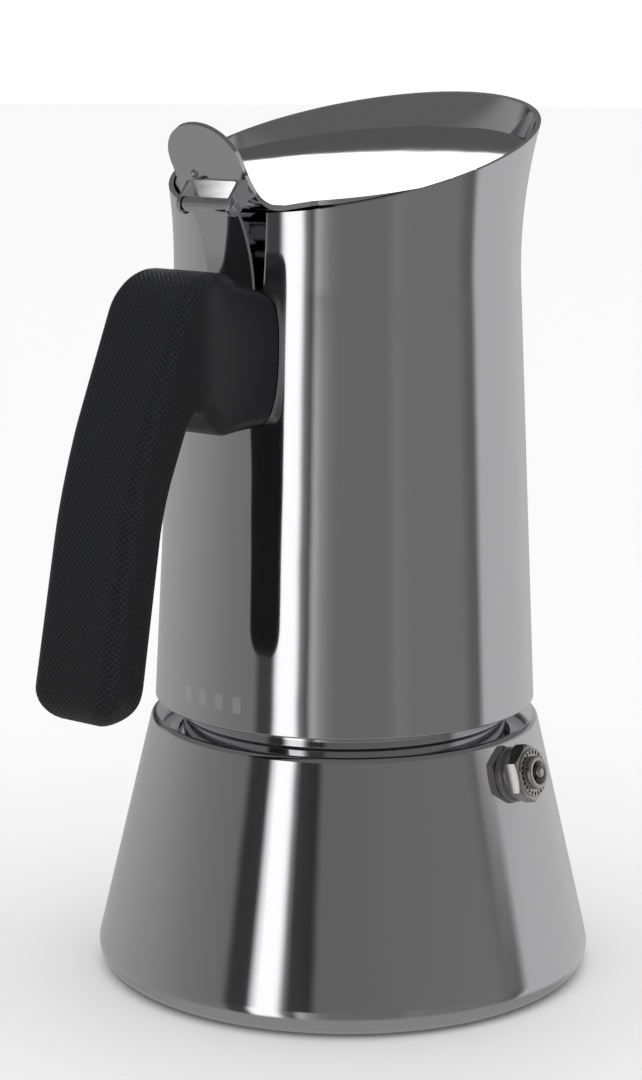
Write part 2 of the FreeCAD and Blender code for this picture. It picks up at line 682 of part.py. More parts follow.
def make_valve_pin():
    body = new_body("valve_pin")
    head = gland_inner + pin_seat
    tip = nozzle_end + pin_proud
    revolve(body, [(ZERO, head), (pin_head, head), (pin_head, head + pin_seal),
                   (pin_stem, head + pin_seal), (pin_stem, tip), (ZERO, tip)])
    blend(body, ring_edge(body, pin_stem, tip), pin_stem * 0.5)
    stand_on_cone(body)
    return body


def make_valve_spring():
    """A round-wire coil between the relief pin's head and the end of the spring chamber."""
    low = gland_inner + pin_seat + pin_seal + spring_wire + pin_seat
    high = spring_stop - spring_wire - pin_seat
    body = new_body("valve_spring")
    sketch = new_sketch(body, "XZ_Plane")
    circle(sketch, spring_radius, low, spring_wire)
    coil = body.newObject("PartDesign::AdditiveHelix", "valve_spring_coil")
    coil.Profile = sketch
    coil.ReferenceAxis = (sketch, ["V_Axis"])
    coil.Mode = 0
    coil.setExpression("Pitch", spring_pitch.text)
    coil.setExpression("Height", (high - low).text)
    settle(body, coil, False)
    stand_on_cone(body)
    return body


# ---------------------------------------------------------------------------------------------
# Funnel: cup with its flange on the neck, sieve on the cup's ledge, stem down to the water
# ---------------------------------------------------------------------------------------------
def make_funnel_cup():
    body = new_body("funnel_cup")
    ledge_radius = cup_radius - ledge_width
    low = ledge_height - cone_drop
    bore = stem_radius + weld_gap
    inside = cup_radius - funnel_sheet
    revolve(body, [
        (flange_radius, flange_top), (flange_radius, neck_top), (cup_radius, neck_top),
        (cup_radius, ledge_height - funnel_sheet), (ledge_radius, ledge_height - funnel_sheet),
        (bore, low - funnel_sheet), (bore, low), (ledge_radius - funnel_sheet, ledge_height),
        (inside, ledge_height), (inside, flange_top)])
    return body


def make_funnel_stem():
    body = new_body("funnel_stem")
    low = boiler_floor + stem_clearance
    high = ledge_height - cone_drop
    bore = stem_radius - stem_wall
    revolve(body, [(bore, low), (stem_radius, low), (stem_radius, high), (bore, high)])
    return body


def make_funnel_sieve():
    body = new_body("funnel_sieve")
    radius = cup_radius - funnel_sheet - sieve_gap
    top = ledge_height + sieve_thickness
    revolve(body, [(ZERO, ledge_height), (radius, ledge_height), (radius, top), (ZERO, top)])
    perforate(body, top, cup_radius - ledge_width - funnel_sheet)
    return body


def make_gasket_ring():
    body = new_body("gasket_ring")
    revolve(body, [(gasket_inner, flange_top), (gasket_outer, flange_top),
                   (gasket_outer, gasket_top), (gasket_inner, gasket_top)])
    return body


def make_filter_plate():
    body = new_body("filter_plate")
    revolve(body, [(ZERO, gasket_top), (filter_radius, gasket_top), (filter_radius, filter_top),
                   (ZERO, filter_top)])
    perforate(body, filter_top, gasket_inner)
    return body


# ---------------------------------------------------------------------------------------------
# Collector: tapered shell with its flared, trimmed mouth, thread ring, floor, riser and cap
# ---------------------------------------------------------------------------------------------
def make_collector_shell():
    body = new_body("collector_shell")
    top = lower_rim + flare_top
    revolve(body, vessel(ZERO, lower_rim, top))
    blend(body, ring_edge(body, collector_radius, lower_rim), lower_edge)
    revolve(body, vessel(wall_sheet, lower_rim - 1, top + 1), "Groove")
    far = collector_radius * 2
    pocket(body, [(-far, rim_height - rim_slope * far), (far, rim_height + rim_slope * far),
                  (far, top * 2), (-far, top * 2)], far * 2)
    return body


def make_thread_ring():
    body = new_body("thread_ring")
    low = lower_rim + ring_lift
    high = neck_top
    inset = wall_sheet + weld_gap
    revolve(body, [(ring_bore, low), (wall_radius(low, inset), low), (wall_radius(high, inset), high),
                   (ring_bore, high)])
    first = shoulder_height + thread_start + thread_pitch / 2
    root = ring_bore + ridge_sink
    crest = ring_bore - thread_depth
    helix(body, [
        (crest, first - thread_crest), (root, first - thread_root),
        (root, first + thread_root), (crest, first + thread_crest)], thread_length - 1)
    return body


def make_collector_floor():
    body = new_body("collector_floor")
    edge = wall_radius(filter_top, wall_sheet + weld_gap)
    upper = wall_radius(floor_top, wall_sheet + weld_gap)
    bore = riser_foot + weld_gap
    peak = floor_top + floor_rise
    revolve(body, [(edge, filter_top), (upper, floor_top), (floor_seat, floor_top), (bore, peak),
                   (bore, peak - floor_sheet), (floor_seat, filter_top)])
    return body


def make_riser_tube():
    body = new_body("riser_tube")
    low = riser_base - floor_sheet
    high = riser_base + riser_height
    revolve(body, [(riser_foot - riser_wall, low), (riser_foot, low), (riser_foot, riser_base),
                   (riser_top, high), (riser_top - riser_wall, high),
                   (riser_foot - riser_wall, riser_base)])
    return body


def make_riser_cap():
    body = new_body("riser_cap")
    low = riser_base + riser_height - cap_skirt
    high = low + cap_height
    taper = (riser_foot - riser_top) / riser_height
    bore = riser_top + taper * cap_skirt + cap_gap
    outside = bore + cap_wall
    revolve(body, [(bore, low), (outside, low), (outside, high), (ZERO, high),
                   (ZERO, high - cap_wall), (bore, high - cap_wall)])
    blend(body, ring_edge(body, outside, high), cap_wall * 2)
    port = low + cap_skirt + cap_port + 0.8
    drill(body, ZERO, port, cap_port, outside * 4)
    return body


# ---------------------------------------------------------------------------------------------
# Hinge: strap from the handle's root up to a rolled barrel, and the riveted pin through it
# ---------------------------------------------------------------------------------------------
strap_in = wall_radius(lower_rim + strap_foot, ZERO) + strap_gap
strap_out = strap_in + strap_thickness
strap_high = lower_rim + strap_bend_start
bend_centre = strap_in + strap_thickness / 2 + strap_bend
barrel_bore = pin_radius + pin_clearance
barrel_radius = barrel_bore + strap_thickness
barrel_offset = strap_bend - (barrel_bore + strap_thickness / 2)
hinge_out = bend_centre - barrel_offset * cosine(strap_angle)
hinge_up = strap_high + barrel_offset * sine(strap_angle)


def make_hinge_strap():
    body = new_body("hinge_strap")
    low = lower_rim + strap_foot
    near = strap_bend - strap_thickness / 2
    wide = strap_bend + strap_thickness / 2
    over, up = cosine(strap_angle), sine(strap_angle)
    pad(body, [
        (strap_in, low), (strap_out, low), (strap_out, strap_high, -near),
        (bend_centre - near * over, strap_high + near * up),
        (bend_centre - wide * over, strap_high + wide * up, wide), (strap_in, strap_high)],
        strap_width)
    sketch = new_sketch(body, "XZ_Plane")
    circle(sketch, hinge_out, hinge_up, barrel_radius)
    roll = body.newObject("PartDesign::Pad", "hinge_strap_roll")
    roll.Profile = sketch
    roll.SideType = "Symmetric"
    roll.setExpression("Length", strap_width.text)
    settle(body, roll, False)
    drill(body, hinge_out, hinge_up, barrel_bore, strap_width * 2)
    turn_to_handle(body)
    return body


def make_hinge_pin():
    """The pin is drawn along its own Z and laid along Y at the hinge."""
    body = new_body("hinge_pin")
    half = strap_width / 2 + ear_gap + ear_thickness
    end = half + pin_head_height
    revolve(body, [(ZERO, -end), (pin_head_radius, -end), (pin_head_radius, -half),
                   (pin_radius, -half), (pin_radius, half), (pin_head_radius, half),
                   (pin_head_radius, end), (ZERO, end)])
    for side in (end, -end):
        blend(body, ring_edge(body, pin_head_radius, side), pin_head_height * 0.6)
    body.Placement = Placement(Vector(0, 0, 0), Rotation(Vector(1, 0, 0), 90))
    body.setExpression("Placement.Base.x", (-hinge_out).text)
    body.setExpression("Placement.Base.z", hinge_up.text)
    return body


# ---------------------------------------------------------------------------------------------
# Lid: sloping plate in the mouth, thumb tab bent up from it, ears bent down to the hinge
# ---------------------------------------------------------------------------------------------
lid_height = lower_rim + lid_rise
lid_reach = collector_neck + lid_overlap
tab_bend_start = lid_reach + tab_run
window_start = tab_bend_start + window_set


def lid_underside(out):
    """Height of the lid's underside at a distance from the axis on the hinge's side."""
    return lid_height + lid_slope * (lid_reach - out)


tab_centre_up = lid_underside(tab_bend_start) + tab_bend
tab_out_low = tab_bend_start + tab_bend * cosine(tab_lean)
tab_up_low = tab_centre_up - tab_bend * sine(tab_lean)


def make_lid_disc():
    body = new_body("lid_disc")
    far = collector_radius * 2
    low = flare_height - 2
    high = lower_rim + flare_top
    revolve(body, vessel(wall_sheet + lid_gap, low, high))
    under_far, under_near = lid_underside(far), lid_underside(-far)
    pocket(body, [(far, under_far + lid_sheet), (far, high * 2), (-far, high * 2),
                  (-far, under_near + lid_sheet)], far * 2)
    pocket(body, [(far, under_far), (-far, under_near), (-far, ZERO), (far, ZERO)], far * 2)
    pocket(body, [(-lid_reach, ZERO), (-lid_reach, high * 2), (-far, high * 2), (-far, ZERO)],
           far * 2)
    turn_to_handle(body)
    return body


def make_lid_tab():
    body = new_body("lid_tab")
    inner = tab_bend - lid_sheet
    root = tab_bend_start - tab_root
    over, up = cosine(tab_lean), sine(tab_lean)
    out_low, up_low = tab_out_low, tab_up_low
    out_high = tab_bend_start + inner * over
    up_high = tab_centre_up - inner * up
    pad(body, [
        (root, lid_underside(root)), (tab_bend_start, lid_underside(tab_bend_start), tab_bend),
        (out_low, up_low), (out_low + tab_length * up, up_low + tab_length * over),
        (out_high + tab_length * up, up_high + tab_length * over), (out_high, up_high, -inner),
        (tab_bend_start, lid_underside(tab_bend_start) + lid_sheet),
        (root, lid_underside(root) + lid_sheet)], tab_base * 2)
    ear_span = strap_width + ear_gap * 2 + ear_thickness * 2
    diagonal = math.cos(math.pi / 4)
    pad(body, [
        (hinge_out - ear_radius, hinge_up), (hinge_out, hinge_up - ear_radius),
        (hinge_out + ear_radius * diagonal, hinge_up - ear_radius * diagonal),
        (hinge_out + ear_radius, hinge_up), (out_low + up * ear_root, up_low + over * ear_root),
        (out_low, up_low), (tab_bend_start + ear_set, up_low - ear_heel)],
        ear_span)
    sketch = new_sketch(body, "XZ_Plane")
    circle(sketch, hinge_out, hinge_up, ear_radius)
    eye = body.newObject("PartDesign::Pad", "lid_tab_eye")
    eye.Profile = sketch
    eye.SideType = "Symmetric"
    eye.setExpression("Length", ear_span.text)
    settle(body, eye, False)
    far = tab_bend_start * 2
    top = lid_height + window_top
    low = lid_height - window_drop
    pocket(body, [(window_start, low), (far, low), (far, top),
                  (window_start, top)], strap_width + ear_gap * 2)
    drill(body, hinge_out, hinge_up, pin_radius, ear_span * 2)
    crown = lid_height + tab_top
    brow = crown - tab_half
    waist = lid_height + tab_shoulder
    hem = lid_height + tab_hem
    for side in (1, -1):
        bow = tab_half * side
        pocket(body, [
            (tab_base * side, hem, tab_hollow * -side), (bow, waist),
            (bow, brow, bow), (ZERO, crown),
            (ZERO, crown * 1.2), (tab_base * (2 * side), crown * 1.2), (tab_base * (2 * side), hem)],
            far * 4, "YZ_Plane")
    turn_to_handle(body)
    return body


def make_lid_pip():
    """The pip pressed out of the tab beside the window, standing square to the tab's face."""
    body = new_body("lid_pip")
    sink = lid_sheet / 2
    revolve(body, [(ZERO, -sink), (pip_radius, -sink), (pip_radius, pip_height),
                   (ZERO, pip_height)])
    blend(body, ring_edge(body, pip_radius, pip_height), pip_height * 0.7)
    rise = window_top + pip_lift
    out = tab_out_low + (lid_height + rise - tab_up_low) * sine(tab_lean) / cosine(tab_lean)
    body.Placement = Placement(Vector(0, 0, 0), Rotation(Vector(0, 1, 0), -90))
    body.setExpression("Placement.Rotation.Angle", (-(tab_lean + 90)).text + " * 1 deg")
    body.setExpression("Placement.Base.x", (-out).text)
    body.setExpression("Placement.Base.y", pip_side.text)
    body.setExpression("Placement.Base.z", (lid_height + rise).text)
    return body


def make_lid_plate():
    lid = doc.addObject("Part::MultiFuse", "lid_plate")
    lid.Shapes = [make_lid_disc(), make_lid_tab(), make_lid_pip()]
    lid.Label = "lid_plate"
    return lid


# ---------------------------------------------------------------------------------------------
# Handle: stud welded over the strap's foot, moulded grip, and the screw from below
# ---------------------------------------------------------------------------------------------
def make_handle_stud():
    body = new_body("handle_stud")
    root = strap_out + weld_gap
    pad(body, [(root, stud_low), (stud_reach, stud_low), (stud_reach, stud_high),
               (root, stud_high)], stud_half * 2)
    sketch = new_sketch(body, "XY_Plane", stud_low)
    circle(sketch, screw_out, ZERO, screw_radius)
    cut_sketch(body, sketch, screw_bite * 2)
    turn_to_handle(body)
    return body


def make_handle_screw():
    """The screw is drawn up its own Z and placed under the boss."""
    body = new_body("handle_screw")
    head = boss_bottom + screw_sink
    neck = head + screw_head_height
    tip = stud_low + screw_bite - screw_end
    socket = screw_head * 0.45
    revolve(body, [(ZERO, head + screw_head_height * 0.6), (socket, head + screw_head_height * 0.6),
                   (socket, head), (screw_head, head), (screw_head, neck), (screw_radius, neck),
                   (screw_radius, tip), (ZERO, tip)])
    body.setExpression("Placement.Base.x", (-screw_out).text)
    return body


def make_handle_grip():
    body = new_body("handle_grip")
    root = strap_in - grip_root
    pad(body, [
        (root, boss_bottom), (boss_reach, boss_bottom), (arch_out, arch_up), (palm_out, palm_up),
        (tip_out, tip_up), (end_out, end_up), (back_out, back_up), (bend_out, bend_up),
        (root, boss_top)], grip_half * 2)
    for out, up, radius in ((bend_out, bend_up, bend_round), (back_out, back_up, back_round),
                            (end_out, end_up, tip_round), (tip_out, tip_up, tip_round),
                            (palm_out, palm_up, palm_round), (arch_out, arch_up, arch_round),
                            (boss_reach, boss_bottom, boss_round)):
        blend(body, cross_edge(body, out, up), radius)
    long_edges = []
    for index, edge in enumerate(body.Tip.Shape.Edges):
        box = edge.BoundBox
        on_side = box.YLength < 1e-4 and abs(abs(box.YMin) - grip_half.value) < 1e-3
        if on_side and box.XMax > root.value + 1:
            long_edges.append("Edge%d" % (index + 1))
    blend(body, long_edges, grip_edge)
    top = lower_rim + flare_top
    revolve(body, vessel(-grip_gap, ZERO, top), "Groove")
    slot = strap_out + slot_gap
    foot = lower_rim + strap_foot - slot_gap
    pocket(body, [(root, foot), (slot, foot), (slot, strap_high), (slot + slot_lean, boss_top * 1.1),
                  (root, boss_top * 1.1)], strap_width + slot_gap * 2)
    pocket(body, [(root, stud_low - stud_gap), (stud_reach + stud_gap, stud_low - stud_gap),
                  (stud_reach + stud_gap, stud_high + stud_gap), (root, stud_high + stud_gap)],
           (stud_half + stud_gap) * 2)
    for radius, depth in ((screw_radius + screw_gap, stud_low),
                          (screw_head + screw_gap, boss_bottom + screw_sink + screw_head_height)):
        sketch = new_sketch(body, "XY_Plane", boss_bottom)
        circle(sketch, screw_out, ZERO, radius)
        cut_sketch(body, sketch, (depth - boss_bottom) * 2)
    turn_to_handle(body)
    return body


# ---------------------------------------------------------------------------------------------
# Build, check and write
# ---------------------------------------------------------------------------------------------
def build_all():
    makers = (make_boiler_shell, make_base_disc, make_valve_boss, make_valve_washer,
              make_valve_body, make_valve_gland, make_valve_pin, make_valve_spring,
              make_funnel_cup, make_funnel_stem, make_funnel_sieve, make_gasket_ring,
              make_filter_plate, make_collector_shell, make_thread_ring, make_collector_floor,
              make_riser_tube, make_riser_cap, make_hinge_strap, make_hinge_pin, make_lid_plate,
              make_handle_stud, make_handle_screw, make_handle_grip)
    return [make() for make in makers]


def main():
    pieces = build_all()
    doc.recompute()
    for item in doc.Objects:
        if "Invalid" in item.State or "Error" in item.State:
            raise RuntimeError("%s did not rebuild" % item.Name)
    os.makedirs("parts", exist_ok=True)
    for piece in pieces:
        shape = piece.Shape
        if shape.isNull() or not shape.isValid() or not shape.Solids:
            raise RuntimeError("%s has no valid shape" % piece.Label)
        shape.exportStep("parts/%s.step" % piece.Label)
        print("%-16s %d solid(s) %10.1f mm3" % (piece.Label, len(shape.Solids), shape.Volume))
    print("lid hinge at x %.3f z %.3f" % (-hinge_out.value, hinge_up.value))
    print("relief valve tilted up by %.3f degrees" % cone_tilt.value)


main()
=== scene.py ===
"""Looks of a polished steel stove-top coffee pot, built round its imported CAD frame.

Everything is in metres in the CAD frame: +Z up, +X the pouring side, the handle on -X and the
safety valve on -Y. Sizes are written in millimetres and scaled by MM.
"""

import logging
import math
from collections.abc import Iterable, Sequence
from dataclasses import dataclass, field
from enum import Enum
from typing import Any

import bmesh
import bpy
from mathutils import Matrix, Vector, geometry

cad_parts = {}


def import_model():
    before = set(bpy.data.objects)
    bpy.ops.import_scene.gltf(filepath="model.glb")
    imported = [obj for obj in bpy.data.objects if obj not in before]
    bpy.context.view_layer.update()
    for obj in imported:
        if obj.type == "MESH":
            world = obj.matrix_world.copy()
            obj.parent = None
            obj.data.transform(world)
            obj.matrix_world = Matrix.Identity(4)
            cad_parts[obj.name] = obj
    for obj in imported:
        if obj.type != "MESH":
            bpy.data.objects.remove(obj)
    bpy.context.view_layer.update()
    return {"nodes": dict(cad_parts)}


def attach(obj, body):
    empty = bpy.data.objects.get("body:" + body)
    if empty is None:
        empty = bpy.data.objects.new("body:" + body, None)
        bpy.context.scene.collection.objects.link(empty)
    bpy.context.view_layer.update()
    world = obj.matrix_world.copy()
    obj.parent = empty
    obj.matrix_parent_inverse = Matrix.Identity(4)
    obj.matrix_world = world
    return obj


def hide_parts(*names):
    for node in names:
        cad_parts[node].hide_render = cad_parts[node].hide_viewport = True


Tree = bpy.types.NodeTree
Node = bpy.types.Node
Socket = bpy.types.NodeSocket
Material = bpy.types.Material
Mesh = bmesh.types.BMesh
Vert = bmesh.types.BMVert
Edge = bmesh.types.BMEdge

MM = 0.001
TURN = 2 * math.pi
GRAIN_MAP = "grain"
log = logging.getLogger("coffee_pot")


class Slot(Enum):
    """The record's material slots."""

    POLISHED = "polished_steel"
    SATIN = "satin_steel"
    HANDLE = "black_handle"
    RUBBER = "gasket_rubber"
    BRASS = "nickel_brass"
    SPRING = "spring_steel"


class Body(Enum):
    """The CAD bodies that the new pieces ride on."""

    BOILER = "boiler"
    COLLECTOR = "collector"
    LID = "lid"


# ---------------------------------------------------------------------------------------------
# Nodes and colours
# ---------------------------------------------------------------------------------------------
def linear(hex_colour: str) -> tuple[float, float, float, float]:
    """Turn an sRGB hex colour into linear light.

    Args:
        hex_colour: A colour such as "#26272a".

    Returns:
        Red, green, blue and alpha, each from 0 to 1.
    """
    parts = [int(hex_colour[i : i + 2], 16) / 255 for i in (1, 3, 5)]
    light = [c / 12.92 if c <= 0.04045 else ((c + 0.055) / 1.055) ** 2.4 for c in parts]
    return (light[0], light[1], light[2], 1.0)


def grey(level: float) -> str:
    """Give the hex colour of an sRGB grey level from 0 to 255."""
    return "#" + 3 * f"{round(level):02x}"


def add_node(
    tree: Tree, kind: str, inputs: dict[Any, Any] | None = None, **settings: Any
) -> Node:
    """Add one node with its settings, values and links.

    Args:
        tree: The node tree that gets the node.
        kind: The shader node's type without its prefix, such as "Math".
        inputs: Socket name or number, with a value or another node's output for it.
        **settings: Properties of the node.

    Returns:
        The new node.
    """
    made = tree.nodes.new("ShaderNode" + kind)
    for name, value in settings.items():
        setattr(made, name, value)
    for name, value in (inputs or {}).items():
        if isinstance(value, Socket):
            tree.links.new(value, made.inputs[name])
        else:
            made.inputs[name].default_value = value
    return made


def fill_ramp(ramp: bpy.types.ColorRamp, stops: Sequence[tuple[float, str]]) -> None:
    """Put colour stops on a ramp.

    Args:
        ramp: The ramp of a Color Ramp node, with its first two stops.
        stops: Position from 0 to 1 and hex colour of each stop, in order.
    """
    while len(ramp.elements) < len(stops):
        ramp.elements.new(1.0)
    for element, (place, colour) in zip(ramp.elements, stops):
        element.position = place
        element.color = linear(colour)


@dataclass(frozen=True)
class Finish:
    """A surface finish: the base of every material."""

    name: str
    colour: str
    roughness: float

    def material(self) -> Material:
        """Build the material with its nodes.

        Returns:
            The finished material.
        """
        made = bpy.data.materials.new(self.name)
        made.use_nodes = True
        tree = made.node_tree
        tree.nodes.clear()
        place = add_node(tree, "TexCoord").outputs["Object"]
        base = {"Base Color": linear(self.colour), "Roughness": self.roughness}
        shader = add_node(tree, "BsdfPrincipled", base)
        self.dress(tree, shader, place)
        add_node(tree, "OutputMaterial", {"Surface": shader.outputs["BSDF"]})
        return made

    def dress(self, tree: Tree, shader: Node, place: Socket) -> None:
        """Add what makes this finish itself; each finish has its own.

        Args:
            tree: The material's node tree.
            shader: The Principled shader.
            place: Object coordinates, in metres.
        """


@dataclass(frozen=True)
class PolishedSteel(Finish):
    """Stainless steel 18/10, spun and buffed: a near mirror with faint lathe waviness."""

    waviness: float = 0.04
    wave_size: float = 14.0
    hairline: float = 0.05
    # Waves for each metre; the real lines are finer, and these are as coarse as they need to
    # be to show
    hair_scale: tuple[float, float, float] = (40.0, 40.0, 1500.0)

    def dress(self, tree: Tree, shader: Node, place: Socket) -> None:
        """Add lathe waviness, buffing hairlines and uneven gloss.

        Args:
            tree: The material's node tree.
            shader: The Principled shader.
            place: Object coordinates, in metres.
        """
        shader.inputs["Metallic"].default_value = 1.0
        bulges = add_node(
            tree, "TexNoise",
            {"Vector": place, "Scale": 1 / (self.wave_size * MM), "Detail": 1.0},
        )
        turned = add_node(
            tree, "VectorMath", {0: place, 1: self.hair_scale}, operation="MULTIPLY"
        )
        hairs = add_node(
            tree, "TexNoise",
            {"Vector": turned.outputs["Vector"], "Scale": 1.0, "Detail": 3.0},
        )
        gloss = add_node(
            tree, "MapRange",
            {"Value": hairs.outputs["Fac"], "To Min": self.roughness * 0.75,
             "To Max": self.roughness * 1.3},
        )
        tree.links.new(gloss.outputs["Result"], shader.inputs["Roughness"])
        wave = add_node(
            tree, "Bump",
            {"Height": bulges.outputs["Fac"], "Strength": self.waviness, "Distance": 1.0 * MM},
        )
        hair = add_node(
            tree, "Bump",
            {"Height": hairs.outputs["Fac"], "Strength": self.hairline,
             "Distance": 0.01 * MM, "Normal": wave.outputs["Normal"]},
        )
        tree.links.new(hair.outputs["Normal"], shader.inputs["Normal"])


@dataclass(frozen=True)
class MarkedSteel(PolishedSteel):
    """The buffed steel with a small etched mark: a row of short matt bars and no lettering."""

    wall_radius: float = 39.6
    middle: float = 176.0
    bar_pitch: float = 4.6
    bar_width: float = 2.1
    bars: int = 4
    low: float = 61.0
    high: float = 64.4
    etched: str = "#f2f2f2"
    etched_roughness: float = 0.42

    def dress(self, tree: Tree, shader: Node, place: Socket) -> None:
        """Add the mirror finish, then the etched bars over it.

        Args:
            tree: The material's node tree.
            shader: The Principled shader.
            place: Object coordinates, in metres.
        """
        super().dress(tree, shader, place)
        behind = add_node(
            tree, "VectorMath", {0: place, 1: (-1.0, -1.0, 1.0)}, operation="MULTIPLY"
        )
        parts = add_node(tree, "SeparateXYZ", {"Vector": behind.outputs["Vector"]}).outputs
        angle = add_node(
            tree, "Math", {0: parts["Y"], 1: parts["X"]}, operation="ARCTAN2"
        ).outputs["Value"]
        per_bar = self.wall_radius / self.bar_pitch
        start = math.radians(self.middle - 180) * per_bar - self.bars / 2
        run = add_node(
            tree, "Math", {0: angle, 1: per_bar, 2: -start}, operation="MULTIPLY_ADD"
        ).outputs["Value"]
        beat = add_node(tree, "Math", {0: run}, operation="FRACT").outputs["Value"]
        # Each limit has a value, the edge where the mark starts and the width of its fade
        limits = (
            (beat, 0.0, 0.04), (beat, self.bar_width / self.bar_pitch, -0.04),
            (run, 0.0, 0.001), (run, float(self.bars), -0.001),
            (parts["Z"], self.low * MM, 0.15 * MM), (parts["Z"], self.high * MM, -0.15 * MM),
        )
        mask = 1.0
        for value, edge, width in limits:
            step = add_node(
                tree, "MapRange", {"Value": value, "From Min": edge, "From Max": edge + width}
            ).outputs["Result"]
            mask = add_node(
                tree, "Math", {0: mask, 1: step}, operation="MULTIPLY"
            ).outputs["Value"]
        gloss = shader.inputs["Roughness"].links[0].from_socket
        rough = add_node(tree, "Mix", {"Factor": mask, 2: gloss, 3: self.etched_roughness})
        tree.links.new(rough.outputs[0], shader.inputs["Roughness"])
        shade = add_node(
            tree, "Mix",
            {"Factor": mask, 6: linear(self.colour), 7: linear(self.etched)}, data_type="RGBA",
        )
        tree.links.new(shade.outputs[2], shader.inputs["Base Color"])


@dataclass(frozen=True)
class SatinMetal(Finish):
    """Metal as it leaves the press or the plating bath: a fine even grain."""

    metallic: float = 1.0
    grain: float = 0.35  # the real grain is finer; this is as coarse as it needs to be to show
    detail: float = 4.0
    uneven: float = 0.3
    strength: float = 0.1
    depth: float = 0.02

    def dress(self, tree: Tree, shader: Node, place: Socket) -> None:
        """Add the grain and its uneven gloss.

        Args:
            tree: The material's node tree.
            shader: The Principled shader.
            place: Object coordinates, in metres.
        """
        shader.inputs["Metallic"].default_value = self.metallic
        noise = add_node(
            tree, "TexNoise",
            {"Vector": place, "Scale": 1 / (self.grain * MM), "Detail": self.detail},
        ).outputs["Fac"]
        gloss = add_node(
            tree, "MapRange",
            {"Value": noise, "To Min": self.roughness * (1 - self.uneven),
             "To Max": self.roughness * (1 + self.uneven)},
        )
        tree.links.new(gloss.outputs["Result"], shader.inputs["Roughness"])
        bump = add_node(
            tree, "Bump",
            {"Height": noise, "Strength": self.strength, "Distance": self.depth * MM},
        )
        tree.links.new(bump.outputs["Normal"], shader.inputs["Normal"])


@dataclass(frozen=True)
class MouldedPlastic(SatinMetal):
    """Moulded plastic or rubber with a fine moulded grain."""

    metallic: float = 0.0
    grain: float = 0.3
    detail: float = 3.0
    uneven: float = 0.15
    strength: float = 0.4


@dataclass(frozen=True)
class GrainedNylon(Finish):
    """Glass-filled black nylon, moulded with a lattice of tiny pips that fades at the boss."""

    pitch: float = 0.8  # from pip to pip
    depth: float = 0.2
    smooth_from: float = 61.0
    smooth_to: float = 53.0
    # Painted shade: the pits between the pips are darkened towards this colour
    painted_pit_shade: str = "#141416"
    skin: float = 0.12
    skin_depth: float = 0.008
    specular: float = 0.42

    def dress(self, tree: Tree, shader: Node, place: Socket) -> None:
        """Add the lattice of pips along the piece's own UV map, a fine skin over it, and
        painted shade in the pits.

        Args:
            tree: The material's node tree.
            shader: The Principled shader.
            place: Object coordinates, in metres.
        """
        shader.inputs["Specular IOR Level"].default_value = self.specular
        flat = add_node(tree, "UVMap", uv_map=GRAIN_MAP).outputs["UV"]
        beat = TURN / (self.pitch * math.sqrt(2) * MM)
        waves = []
        for direction in ((1.0, 1.0, 0.0), (1.0, -1.0, 0.0)):
            along = add_node(
                tree, "VectorMath", {0: flat, 1: direction}, operation="DOT_PRODUCT"
            )
            phase = add_node(
                tree, "Math", {0: along.outputs["Value"], 1: beat}, operation="MULTIPLY"
            )
            wave = add_node(tree, "Math", {0: phase.outputs["Value"]}, operation="COSINE")
            waves.append(wave.outputs["Value"])
        pips = add_node(
            tree, "Math", {0: waves[0], 1: waves[1]}, operation="ADD"
        ).outputs["Value"]
        parts = add_node(tree, "SeparateXYZ", {"Vector": place})
        fade = add_node(
            tree, "MapRange",
            {"Value": parts.outputs["X"], "From Min": -self.smooth_to * MM,
             "From Max": -self.smooth_from * MM},
            interpolation_type="SMOOTHSTEP",
        )
        relief = add_node(
            tree, "Math", {0: pips, 1: fade.outputs["Result"]}, operation="MULTIPLY"
        ).outputs["Value"]
        lattice = add_node(
            tree, "Bump", {"Height": relief, "Strength": 1.0, "Distance": self.depth / 2 * MM}
        )
        noise = add_node(
            tree, "TexNoise", {"Vector": place, "Scale": 1 / (self.skin * MM), "Detail": 2.0}
        )
        fine = add_node(
            tree, "Bump",
            {"Height": noise.outputs["Fac"], "Strength": 0.5,
             "Distance": self.skin_depth * MM, "Normal": lattice.outputs["Normal"]},
        )
        tree.links.new(fine.outputs["Normal"], shader.inputs["Normal"])
        gloss = add_node(
            tree, "MapRange",
            {"Value": pips, "From Min": -2.0, "From Max": 2.0,
             "To Min": self.roughness * 1.25, "To Max": self.roughness * 0.85},
        )
        tree.links.new(gloss.outputs["Result"], shader.inputs["Roughness"])
        # Painted shade: the colour darkens from the nylon's own towards the pit colour where
        # the lattice is low
        tone = add_node(tree, "MapRange", {"Value": relief, "From Min": -2.0, "From Max": 2.0})
        shade = add_node(
            tree, "Mix",
            {"Factor": tone.outputs["Result"], 6: linear(self.painted_pit_shade),
             7: linear(self.colour)},
            data_type="RGBA",
        )
        tree.links.new(shade.outputs[2], shader.inputs["Base Color"])


